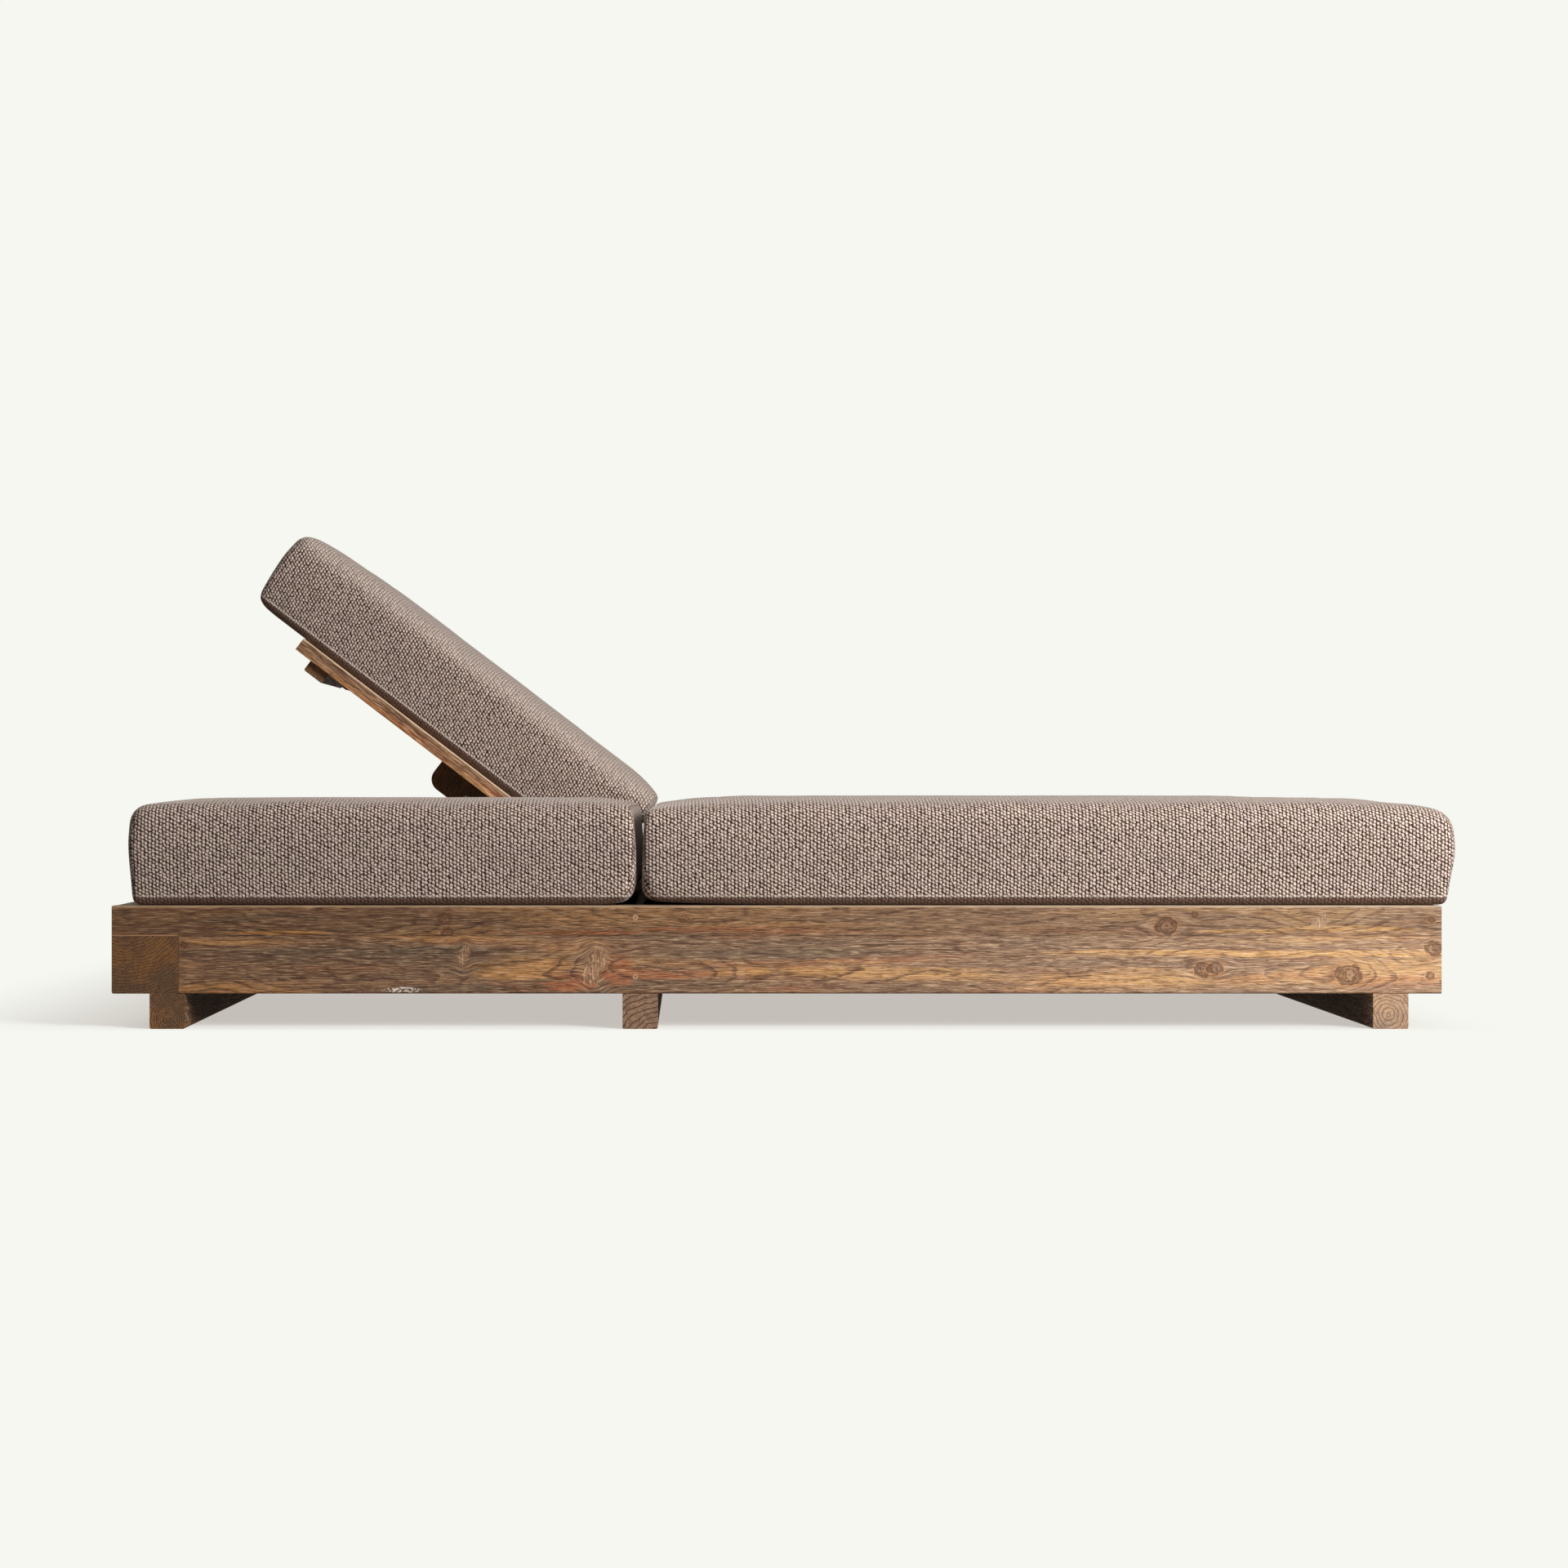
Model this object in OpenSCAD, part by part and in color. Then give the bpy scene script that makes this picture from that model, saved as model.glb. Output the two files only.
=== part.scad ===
// Double sun lounger: a low teak frame on three cross beams, with two hinged backs side by side.
// Millimetres. Inside the modules X runs from the frame's head end to its foot end, Y from the
// middle of the lounger outwards to the far side, and Z up from the floor. Everything is then
// moved along X, so that the origin lies on the floor under the middle of the whole lounger.
// The near half lies at -Y with its back flat. The far half lies at +Y with its back raised.

/* [Frame] */
// Length of the wooden frame from its head end to its foot end
frame_l = 2000; // [1850:10:2200]
// Width of the wooden frame over both halves
frame_w = 1600; // [1450:10:1800]
// Side of the square cross beams that the frame stands on
leg_size = 53; // [45:1:80]
// From the head end to the first cross beam
head_leg_inset = 57; // [10:1:120]
// From the foot end to the last cross beam
foot_leg_inset = 50; // [10:1:120]
// How far the middle cross beam's middle lies footward of the hinge beam's middle
middle_leg_shift = 7; // [0:1:10]
// Height of the lower boards of the rails
rail_lower_h = 87; // [82:1:110]
// Height of the upper boards of the rails
rail_upper_h = 45; // [45:1:60]
// Thickness of the side rails and the foot rail
rail_t = 35; // [28:1:50]
// Thickness of the centre rail
centre_rail_t = 30; // [24:1:50]
// Size along the lounger of the beam across the head end
head_beam_l = 100; // [70:1:100]
// Thickness of the lip that stands on the head end beam
head_lip_t = 30; // [20:1:30]
// Radius of the long edges that a hand can touch
edge_r = 3; // [1:0.5:6]
// Radius of the broken edges that a hand can't reach
arris_r = 1; // [0.5:0.1:1]

/* [Seat deck] */
// Number of lengthwise slats in each deck and in each back
slat_n = 7; // [4:1:9]
// Thickness of the slats
slat_t = 24; // [18:1:30]
// Gap between two slats
slat_gap = 10; // [4:1:16]
// Gap between the outer slats and the rails beside them
side_gap = 6; // [3:1:12]
// Size along the lounger of the hinge beam across each half
hinge_beam_t = 40; // [32:1:60]
// Size along the lounger of a bearer under the seat slats
bearer_l = 40; // [30:1:60]
// Height of a bearer under the seat slats
bearer_h = 60; // [40:1:80]
// Thickness of the ledgers that hold the ends of the seat slats
ledger_t = 25; // [18:1:40]
// Height of the ledgers
ledger_h = 40; // [25:1:60]

/* [Back] */
// Distance from the head end to the hinge pins
hinge_x = 762; // [740:1:800]
// Depth of the hinge pins' centre below the top of the deck
hinge_depth = 7; // [6:0.5:10]
// Angle to which the far back is raised, in degrees
back_angle = 37.4; // [0:0.1:50]
// Gap between the lip at the head end and a flat back
head_gap = 5; // [3:0.5:10]
// Distance from the head end of a back to its head batten
batten_setback = 32; // [10:1:60]
// Width of a batten under the back's slats
batten_l = 40; // [30:1:60]
// How far the battens' ends lie in from the edges of the back
batten_inset = 15; // [5:1:40]
// Gap in the middle of the head batten
batten_gap = 95; // [90:1:140]
// Gap between the prop's cleats and the middle batten
middle_batten_gap = 4; // [1:1:20]
// Height of the foot batten, which holds the hinges
foot_batten_h = 36; // [34:1:40]
// Clearance between a flat back and the beam that it lies on
rest_gap = 0.3; // [0.2:0.1:1]

/* [Prop] */
// Distance from the hinge pins to the prop's bolt, along a flat back
bolt_reach = 341; // [325:1:350]
// Depth of the prop's bolt below the top of the back
bolt_depth = 62; // [55:1:66]
// Length of a prop cleat
cleat_l = 162; // [110:1:166]
// Depth of a prop cleat below the slats
cleat_h = 60; // [55:1:62]
// Thickness of a prop cleat
cleat_t = 30; // [20:1:40]
// Radius of a cleat's lower corners
cleat_r = 24; // [10:1:30]
// Gap between the folded prop's foot and the head end beam
prop_end_gap = 10.4; // [8:0.1:20]
// Width of the prop
prop_w = 84; // [60:1:88]
// Thickness of the prop, also the diameter of its round foot
prop_t = 18; // [14:1:22]
// Radius of the prop's eye round the bolt
prop_eye_r = 14; // [12:0.5:16]
// Slope of the folded prop against the back, in degrees
fold_angle = 3; // [0:0.5:5]
// Turn of the prop against the back for each degree that the back is raised
prop_ratio = 2.38; // [2.3:0.01:2.45]
// Clearance between the prop and each cleat
prop_gap = 1; // [0.5:0.5:3]
// Clearance between the notched rack and the cleats beside it
rack_side_gap = 3; // [1:0.5:10]
// Thickness of the notched rack
rack_h = 38; // [28:1:44]
// Clearance between the turning prop and the top of the rack
foot_gap = 3.2; // [2:0.1:6]
// Depth of the rack's notches
notch_depth = 9; // [5:1:12]
// Length of the ramp that leads out of a notch
notch_ramp = 26; // [15:1:30]
// Clearance behind the prop's foot in a notch
notch_gap = 0.5; // [0.2:0.1:1]
// Back angle at the lowest notch, in degrees
first_notch_angle = 14; // [12:0.5:15]
// Back angle at the second notch, in degrees
second_notch_angle = 26; // [25:0.5:27]
// Back angle at the highest notch, in degrees
last_notch_angle = 50; // [49:0.5:50]

/* [Metalwork] */
// Radius of the prop's bolt
bolt_r = 4; // [3:0.5:5]
// Radius of the bolt's head and washers
bolt_head_r = 8; // [7:0.5:9]
// Height of the bolt's head
bolt_head_h = 4; // [3:0.5:6]
// Radius of the dome on the bolt's head
bolt_dome_r = 10; // [9.5:0.5:14]
// How far the bolt stands out of the outer washer
bolt_tail = 9; // [8:0.5:12]
// Height of the bolt's nut
nut_h = 6.5; // [4:0.5:7.5]
// Radius of the bolt's nut over its corners
nut_r = 7.5; // [7:0.1:9]
// Thickness of a washer
washer_t = 1.5; // [1:0.1:2]
// Radius of the hinge pins
pin_r = 3; // [2:0.1:3.4]
// Radius of the hinge pins' heads
pin_head_r = 4; // [3.6:0.1:5]
// Height of the hinge pins' heads
pin_head_h = 2; // [1:0.5:3]
// Outer radius of the hinge knuckles
knuckle_r = 5.5; // [5:0.1:6]
// Thickness of the hinge leaves
leaf_t = 2.5; // [2:0.1:3]
// Height of the hinge leaves below the pin's centre
leaf_h = 45; // [40:1:48]
// Width of a hinge
hinge_w = 81; // [60:1:120]
// Clearance at each end of a knuckle, and between a knuckle and the leaf beside it
knuckle_gap = 0.2; // [0.1:0.05:0.5]
// Gap between a hinge's leaf and the screwed wood's edge beyond its knuckles
leaf_relief = 0.5; // [0.3:0.1:1]
// Distance between the middles of the two hinges of a back
hinge_pitch = 500; // [300:10:560]
// Radius of the wood screws' shanks
screw_r = 2; // [1.5:0.1:2.2]
// Radius of the wood screws' heads
screw_head_r = 4; // [3:0.1:4.5]
// Height of the wood screws' heads
screw_head_h = 1.6; // [1:0.1:2]
// Length of the wood screws in the hinges
hinge_screw_l = 28; // [20:1:34]
// Depth of a leaf's middle screw below the pin's centre
middle_screw_drop = 28; // [26:0.5:30]
// Depth of a leaf's outer screws below the pin's centre
outer_screw_drop = 37; // [34:0.5:38]
// Radius of the coach screws and their shanks in the frame
coach_r = 4; // [3:0.5:5]
// Radius of the coach screws' heads
coach_head_r = 8; // [7:0.5:9]
// Height of the coach screws' heads
coach_head_h = 4; // [3:0.5:6]
// Clearance round a coach screw's head in its recess
recess_gap = 1; // [0.5:0.5:2]
// Depth of the recesses that the coach screws' heads and the rail screws' heads lie in
coach_recess = 12; // [8:1:20]
// Length of the coach screws through the cross beams
leg_screw_l = 100; // [70:5:110]
// Length of the coach screws through the side rails
rail_screw_l = 80; // [60:5:100]
// Height of the rail screws' heads
rail_screw_head_h = 2; // [1.5:0.5:4]
// Radius of the wooden plugs over the rail screws
plug_r = 4; // [3:0.5:8]
// How far the plugs stand out of the rails
plug_stand = 0.3; // [0.1:0.1:1]
// Height of a lower plug's middle above the underside of the rails
lower_plug_rise = 25.5; // [18:0.5:40]
// Depth of an upper plug's middle below the top of the rails
upper_plug_drop = 17.5; // [14:0.5:25]
// Radial clearance round screws, bolts, pins and plugs
fit_gap = 0.05; // [0.02:0.01:0.1]

/* [Cushions] */
// Thickness of the cushions at their edges
cushion_t = 152; // [120:1:180]
// Rise of the seat cushions' tops and of a flat back cushion's top from the edges to the middle
cushion_crown = 12; // [4:1:25]
// Rise of the raised back cushion's top, which nothing presses flat
raised_crown = 21; // [4:1:30]
// Clearance under the cushions
cushion_seat_gap = 0.3; // [0.2:0.1:2]
// Distance from the head end of the frame to a flat back cushion
cushion_head_inset = 19; // [10:1:50]
// How much longer than a flat back cushion the raised one is, at its head end
raised_stretch = 14; // [0:1:14]
// How far the seat cushions hang over the foot end
cushion_overhang = 27; // [0:1:60]
// Distance from the hinge pins to the middle of the gap between back and seat cushions
cushion_split = 31; // [25:1:45]
// Gap between the back and seat cushions
cushion_gap = 6; // [4:1:15]
// Gap from the cushions to the outer faces of the rails and to the middle of the lounger
cushion_side_gap = 3; // [2:1:20]
// Radius of the seat cushions' upper edges
seat_top_r = 34; // [25:1:55]
// Radius of the back cushions' upper edges
back_top_r = 18; // [15:1:40]
// Radius of the cushions' lower edges
cushion_bottom_r = 20; // [15:1:35]
// Radius of the cushions' corners seen from above
cushion_corner_r = 22; // [20:1:60]
// How far a cushion's sides bulge between their upper and lower edges
cushion_bulge = 6; // [2:1:12]
// How far a cushion's sides are drawn in between its corners
cushion_draw = 4; // [0:1:10]
// How far a seat cushion's top falls at its foot end
foot_fall = 9; // [0:1:25]
// Length over which a seat cushion's top falls
foot_fall_l = 190; // [80:10:300]
// Slide of a back cushion up its back for each degree that the back is raised
cushion_slide = 2.25; // [2.1:0.01:3]

/* [Hidden] */

TEAK = "#96704f";
TEAK_DARK = "#7a5a42";
STEEL = "#8f8d88";
FABRIC = "#a08d80";

// The two halves, as the sign of their Y
NEAR = -1;
FAR = 1;

// Heights
rail_z = leg_size;
lamination_z = rail_z + rail_lower_h;
deck_z = lamination_z + rail_upper_h;
slat_z = deck_z - slat_t;

// The bay of one half, between the centre rail and the side rail
bay_in = centre_rail_t / 2;
bay_out = frame_w / 2 - rail_t;
bay_w = bay_out - bay_in;
bay_mid = (bay_in + bay_out) / 2;
panel_w = bay_w - 2 * side_gap;
slat_w = (panel_w - (slat_n - 1) * slat_gap) / slat_n;

// Hinge line, and the faces that the leaves lie on
hinge_z = deck_z - hinge_depth;
leaf_reach = knuckle_r + knuckle_gap;
panel_foot = hinge_x - leaf_reach;
hinge_beam_x = hinge_x + leaf_reach;
hinge_beam_end = hinge_beam_x + hinge_beam_t;
panel_head = head_lip_t + head_gap;
foot_rail_x = frame_l - rail_t;
seat_slat_l = foot_rail_x - hinge_beam_end;

// Battens and cleats under a back
head_batten_x = panel_head + batten_setback;
batten_z = lamination_z + rest_gap;
batten_h = slat_z - batten_z;
foot_batten_z = slat_z - foot_batten_h;
batten_w = panel_w - 2 * batten_inset;
bolt_x = hinge_x - bolt_reach;
bolt_z = deck_z - bolt_depth;
cleat_in = prop_w / 2 + prop_gap;
cleat_out = cleat_in + cleat_t;
middle_batten_x = bolt_x + cleat_l / 2 + middle_batten_gap;

// Cross beams
head_leg_x = head_leg_inset;
middle_leg_x = hinge_beam_x + hinge_beam_t / 2 + middle_leg_shift - leg_size / 2;
foot_leg_x = frame_l - foot_leg_inset - leg_size;
side_rail_mid = frame_w / 2 - rail_t / 2;

// Cushions
cushion_z = deck_z + cushion_seat_gap;
split_x = hinge_x + cushion_split;
back_cushion_l = split_x - cushion_gap / 2 - cushion_head_inset;
seat_cushion_x = split_x + cushion_gap / 2;
seat_cushion_l = frame_l + cushion_overhang - seat_cushion_x;
cushion_w = frame_w / 2 - 2 * cushion_side_gap;
far_slide = cushion_slide * back_angle;

// The origin lies under the middle of the whole lounger
origin_x = (frame_l + cushion_overhang) / 2;

// Where the bolt and the middle of the prop's foot are when a back is raised by an angle
function raised_bolt(a) = [
  hinge_x - bolt_reach * cos(a) + (bolt_z - hinge_z) * sin(a),
  hinge_z + bolt_reach * sin(a) + (bolt_z - hinge_z) * cos(a)
];
function prop_slope(a) = (prop_ratio - 1) * a - fold_angle;
function foot_x(a) = raised_bolt(a)[0] - prop_l * cos(prop_slope(a));
function foot_z(a) = raised_bolt(a)[1] - prop_l * sin(prop_slope(a));

// Distance from the bolt to the middle of the prop's round foot
prop_l = (bolt_x - prop_t / 2 - prop_end_gap - head_beam_l) / cos(fold_angle);

// The rack lies under the lowest places that the prop's foot and its eye come to
turn_angles = [0 : 2 : last_notch_angle];
rack_z = min([for (a = turn_angles) min(foot_z(a) - prop_t / 2, bolt_z - prop_eye_r)]) - foot_gap;
rack_w = 2 * (cleat_in - rack_side_gap);

// Rounded bar sections and the bars made from them

// A bar's section with its own radius on the two upper and on the two lower corners
module section(w, h, r_top, r_bottom) {
  translate([0, r_bottom]) square([w, h - r_top - r_bottom]);
  if (r_top > 0) {
    translate([r_top, h - r_top]) square([w - 2 * r_top, r_top]);
    for (x = [r_top, w - r_top]) translate([x, h - r_top]) circle(r = r_top, $fn = 48);
  }
  if (r_bottom > 0) {
    translate([r_bottom, 0]) square([w - 2 * r_bottom, r_bottom]);
    for (x = [r_bottom, w - r_bottom]) translate([x, r_bottom]) circle(r = r_bottom, $fn = 48);
  }
}

// A bar along X, w wide in Y and h high
module bar_x(l, w, h, r_top = 0, r_bottom = 0) {
  rotate([90, 0, 90]) linear_extrude(l) section(w, h, r_top, r_bottom);
}

// A bar along Y, w wide in X and h high
module bar_y(l, w, h, r_top = 0, r_bottom = 0) {
  translate([0, l, 0]) rotate([90, 0, 0]) linear_extrude(l) section(w, h, r_top, r_bottom);
}

// A round rod along Y from y0 to y1
module rod_y(y0, y1, r) {
  translate([0, y1, 0]) rotate([90, 0, 0]) cylinder(h = y1 - y0, r = r, $fn = 48);
}

// Places a half's pieces on its side of the lounger
module on_side(side) {
  if (side < 0) mirror([0, 1, 0]) children();
  else children();
}

// Turns a back's pieces about its hinge line: the far one is raised, the near one is flat
module on_back(side) {
  angle = side == FAR ? back_angle : 0;
  translate([hinge_x, 0, hinge_z]) rotate([0, angle, 0]) translate([-hinge_x, 0, -hinge_z]) children();
}

// Turns a prop about its bolt as far as its back's angle asks
module on_bolt(side) {
  angle = side == FAR ? fold_angle - prop_ratio * back_angle : fold_angle;
  translate([bolt_x, 0, bolt_z]) rotate([0, angle, 0]) children();
}

// Frame

// The coach screws through the cross beams, as [x, y]
function leg_screw_places() = [
  for (x = [head_leg_x, middle_leg_x, foot_leg_x])
    for (y = [-side_rail_mid, 0, side_rail_mid])
      [x + leg_size / 2, y]
];

module leg_screw_holes() {
  for (p = leg_screw_places()) translate([p[0], p[1], 0]) {
    translate([0, 0, -1]) cylinder(h = coach_recess + 1, r = coach_head_r + recess_gap, $fn = 48);
    cylinder(h = coach_recess + leg_screw_l + 1, r = coach_r + fit_gap, $fn = 48);
  }
}

// One domed coach screw that points up, with its head's underside at the origin
module coach_screw(l) {
  cylinder(h = l, r = coach_r, $fn = 48);
  translate([0, 0, -coach_head_h]) cylinder(h = coach_head_h, r = coach_head_r, $fn = 48);
}

module leg_screws() {
  color(STEEL)
    for (p = leg_screw_places()) translate([p[0], p[1], coach_recess]) coach_screw(leg_screw_l);
}

// The heights of the rail screws and plugs at the hinge beams
plug_heights = [rail_z + lower_plug_rise, deck_z - upper_plug_drop];

// Each rail screw's place: it points inwards along -Y on the far side
module at_rail_screws(side) {
  on_side(side)
    for (z = plug_heights)
      translate([hinge_beam_x + hinge_beam_t / 2, frame_w / 2, z]) rotate([90, 0, 0]) children();
}

module rail_screw_holes() {
  for (side = [NEAR, FAR]) at_rail_screws(side) {
    translate([0, 0, -1]) cylinder(h = coach_recess + 1, r = plug_r + fit_gap, $fn = 48);
    cylinder(h = coach_recess + rail_screw_l + 1, r = screw_r + fit_gap, $fn = 48);
  }
}

module rail_screws() {
  color(STEEL)
    for (side = [NEAR, FAR]) at_rail_screws(side) {
      translate([0, 0, coach_recess - rail_screw_head_h]) {
        cylinder(h = rail_screw_head_h, r = plug_r, $fn = 48);
        cylinder(h = rail_screw_l, r = screw_r, $fn = 48);
      }
    }
}

module rail_plugs() {
  color(TEAK_DARK)
    for (side = [NEAR, FAR]) at_rail_screws(side)
      translate([0, 0, -plug_stand])
        cylinder(h = coach_recess - rail_screw_head_h + plug_stand, r = plug_r, $fn = 48);
}

module head_end_beam() {
  color(TEAK_DARK)
    difference() {
      translate([0, -frame_w / 2, rail_z]) bar_y(frame_w, head_beam_l, rail_lower_h, 0, edge_r);
      leg_screw_holes();
    }
}

module head_end_lip() {
  color(TEAK)
    translate([0, -bay_out, lamination_z]) bar_y(2 * bay_out, head_lip_t, rail_upper_h, edge_r, 0);
}

module rail_lower(side) {
  color(TEAK)
    difference() {
      on_side(side)
        translate([head_beam_l, bay_out, rail_z])
          bar_x(frame_l - head_beam_l, rail_t, rail_lower_h, 0, edge_r);
      leg_screw_holes();
      rail_screw_holes();
    }
}

module rail_upper(side) {
  color(TEAK)
    difference() {
      on_side(side)
        translate([0, bay_out, lamination_z]) bar_x(frame_l, rail_t, rail_upper_h, edge_r, 0);
      rail_screw_holes();
    }
}

module centre_rail_lower() {
  color(TEAK)
    difference() {
      translate([head_beam_l, -bay_in, rail_z])
        bar_x(foot_rail_x - head_beam_l, centre_rail_t, rail_lower_h);
      leg_screw_holes();
    }
}

module centre_rail_upper() {
  color(TEAK)
    translate([head_lip_t, -bay_in, lamination_z])
      bar_x(foot_rail_x - head_lip_t, centre_rail_t, rail_upper_h, arris_r, 0);
}

module foot_rail_lower() {
  color(TEAK)
    translate([foot_rail_x, -bay_out, rail_z]) bar_y(2 * bay_out, rail_t, rail_lower_h, 0, edge_r);
}

module foot_rail_upper() {
  color(TEAK)
    translate([foot_rail_x, -bay_out, lamination_z])
      bar_y(2 * bay_out, rail_t, rail_upper_h, edge_r, 0);
}

module leg_beam(x) {
  color(TEAK_DARK)
    difference() {
      translate([x, -frame_w / 2, 0]) bar_y(frame_w, leg_size, leg_size, 0, edge_r);
      leg_screw_holes();
    }
}

module hinge_beam(side) {
  color(TEAK)
    difference() {
      on_side(side)
        translate([hinge_beam_x, bay_in, rail_z]) bar_y(bay_w, hinge_beam_t, deck_z - rail_z);
      rail_screw_holes();
      on_side(side) at_leaf_screws() leaf_screw_hole(1);
    }
}

// Two bearers cross each seat bay at the thirds of the slats' length
module seat_bearers(side) {
  color(TEAK_DARK)
    on_side(side)
      for (i = [1, 2])
        translate([hinge_beam_end + seat_slat_l * i / 3 - bearer_l / 2, bay_in, slat_z - bearer_h])
          bar_y(bay_w, bearer_l, bearer_h);
}

module seat_ledgers(side) {
  color(TEAK_DARK)
    on_side(side)
      for (x = [hinge_beam_end, foot_rail_x - ledger_t])
        translate([x, bay_in, slat_z - ledger_h]) bar_y(bay_w, ledger_t, ledger_h);
}

// A row of lengthwise slats between x0 and x1 across one bay
module slat_row(x0, x1) {
  for (i = [0 : slat_n - 1])
    translate([x0, bay_in + side_gap + i * (slat_w + slat_gap), slat_z])
      bar_x(x1 - x0, slat_w, slat_t, edge_r, arris_r);
}

module seat_slats(side) {
  color(TEAK) on_side(side) slat_row(hinge_beam_end, foot_rail_x);
}

// Rack: its notches lie where the prop's foot comes down at each of these back angles
notch_angles = [first_notch_angle, second_notch_angle, back_angle, last_notch_angle];

module notch(x) {
  polygon([
    [x - prop_t / 2 - notch_gap, rack_z + 1],
    [x - prop_t / 2 - notch_gap, rack_z - notch_depth],
    [x + prop_t / 2, rack_z - notch_depth],
    [x + prop_t / 2 + notch_ramp, rack_z],
    [x + prop_t / 2 + notch_ramp, rack_z + 1]
  ]);
}

module prop_rack(side) {
  color(TEAK_DARK)
    on_side(side)
      translate([0, bay_mid + rack_w / 2, 0]) rotate([90, 0, 0]) linear_extrude(rack_w)
        difference() {
          translate([head_beam_l, rack_z - rack_h])
            square([hinge_beam_x - head_beam_l, rack_h]);
          for (a = notch_angles) notch(foot_x(a));
        }
}

// Hinges

// The middles of a half's hinges across the bay
hinge_ys = [bay_mid - hinge_pitch / 2, bay_mid + hinge_pitch / 2];
// The parts of a hinge's width that the frame's leaf and the back's leaf hold the pin with
knuckle_w = hinge_w / 3;
knuckle_end = knuckle_w / 2 - knuckle_gap;
frame_knuckles = [-1, 1];
back_knuckles = [0];
// The screws of one leaf, as [across, below the pin]
leaf_screw_places = [
  [-hinge_w / 3, outer_screw_drop],
  [0, middle_screw_drop],
  [hinge_w / 3, outer_screw_drop]
];

// Places a leaf screw: its axis along +X, its origin on the pin's plane
module at_leaf_screws() {
  for (y = hinge_ys)
    for (p = leaf_screw_places)
      translate([hinge_x, y + p[0], hinge_z - p[1]]) children();
}

// A screw's hole through a leaf and into the wood, on the side that dir gives
module leaf_screw_hole(dir) {
  rotate([0, 90 * dir, 0]) cylinder(h = leaf_reach + hinge_screw_l, r = screw_r + fit_gap, $fn = 32);
}

module leaf_screw(dir) {
  rotate([0, 90 * dir, 0]) translate([0, 0, leaf_reach - leaf_t]) {
    cylinder(h = hinge_screw_l, r = screw_r, $fn = 32);
    translate([0, 0, -screw_head_h]) cylinder(h = screw_head_h, r = screw_head_r, $fn = 32);
  }
}

// One leaf: dir 1 is the frame's, -1 the back's; own lists the knuckles that it holds
module hinge_leaf(dir, own) {
  plate_x = dir > 0 ? leaf_reach - leaf_t : -leaf_reach;
  difference() {
    union() {
      translate([plate_x, -hinge_w / 2, -leaf_h]) cube([leaf_t, hinge_w, leaf_h - knuckle_r - leaf_relief]);
      for (i = own) translate([0, i * knuckle_w, 0]) {
        translate([plate_x, -knuckle_end, -leaf_h]) cube([leaf_t, 2 * knuckle_end, leaf_h]);
        rod_y(-knuckle_end, knuckle_end, knuckle_r);
      }
    }
    rod_y(-hinge_w, hinge_w, pin_r + fit_gap);
  }
}

module hinge_leaves(side, dir, own) {
  color(STEEL)
    on_side(side)
      difference() {
        for (y = hinge_ys) translate([hinge_x, y, hinge_z]) hinge_leaf(dir, own);
        at_leaf_screws() leaf_screw_hole(dir);
      }
}

module hinge_screws(side, dir) {
  color(STEEL) on_side(side) at_leaf_screws() leaf_screw(dir);
}

module hinge_pins(side) {
  color(STEEL)
    on_side(side)
      for (y = hinge_ys) translate([hinge_x, y, hinge_z]) {
        rod_y(-hinge_w / 2, hinge_w / 2, pin_r);
        rod_y(hinge_w / 2, hinge_w / 2 + pin_head_h, pin_head_r);
      }
}

// Backs

module back_slats(side) {
  color(TEAK) on_side(side) on_back(side) slat_row(panel_head, panel_foot);
}

// Two pieces of batten with a gap between them under the head end of a back
module head_battens(side) {
  piece = (batten_w - batten_gap) / 2;
  color(TEAK_DARK)
    on_side(side) on_back(side)
      for (y = [bay_mid - batten_w / 2, bay_mid + batten_gap / 2])
        translate([head_batten_x, y, batten_z]) bar_y(piece, batten_l, batten_h, 0, edge_r);
}

module middle_batten(side) {
  color(TEAK_DARK)
    on_side(side) on_back(side)
      translate([middle_batten_x, bay_mid - batten_w / 2, batten_z])
        bar_y(batten_w, batten_l, batten_h, 0, edge_r);
}

module foot_batten(side) {
  color(TEAK_DARK)
    on_side(side) on_back(side)
      difference() {
        translate([panel_foot - batten_l, bay_mid - batten_w / 2, foot_batten_z])
          bar_y(batten_w, batten_l, foot_batten_h);
        at_leaf_screws() leaf_screw_hole(-1);
      }
}

module prop_cleats(side) {
  color(TEAK_DARK)
    on_side(side) on_back(side)
      difference() {
        for (y = [bay_mid - cleat_out, bay_mid + cleat_in])
          translate([bolt_x - cleat_l / 2, y, slat_z - cleat_h])
            bar_y(cleat_t, cleat_l, cleat_h, 0, cleat_r);
        translate([bolt_x, bay_mid, bolt_z]) rod_y(-cleat_out - 1, cleat_out + 1, bolt_r + fit_gap);
      }
}

// Bolt with a domed head, two washers and a nut
module prop_bolt(side) {
  color(STEEL)
    on_side(side) on_back(side)
      translate([bolt_x, bay_mid, bolt_z]) {
        rod_y(-cleat_out - washer_t, cleat_out + washer_t + bolt_tail, bolt_r);
        intersection() {
          rod_y(-cleat_out - washer_t - bolt_head_h, -cleat_out - washer_t, bolt_head_r);
          translate([0, bolt_dome_r - cleat_out - washer_t - bolt_head_h, 0])
            sphere(r = bolt_dome_r, $fn = 64);
        }
        for (y = [-cleat_out - washer_t, cleat_out])
          difference() {
            rod_y(y + fit_gap, y + washer_t - fit_gap, bolt_head_r);
            rod_y(y - 1, y + washer_t + 1, bolt_r + fit_gap);
          }
        translate([0, cleat_out + washer_t + nut_h, 0]) rotate([90, 0, 0])
          difference() {
            cylinder(h = nut_h, r = nut_r, $fn = 6);
            translate([0, 0, -1]) cylinder(h = nut_h + 2, r = bolt_r + fit_gap, $fn = 48);
          }
      }
}

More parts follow.
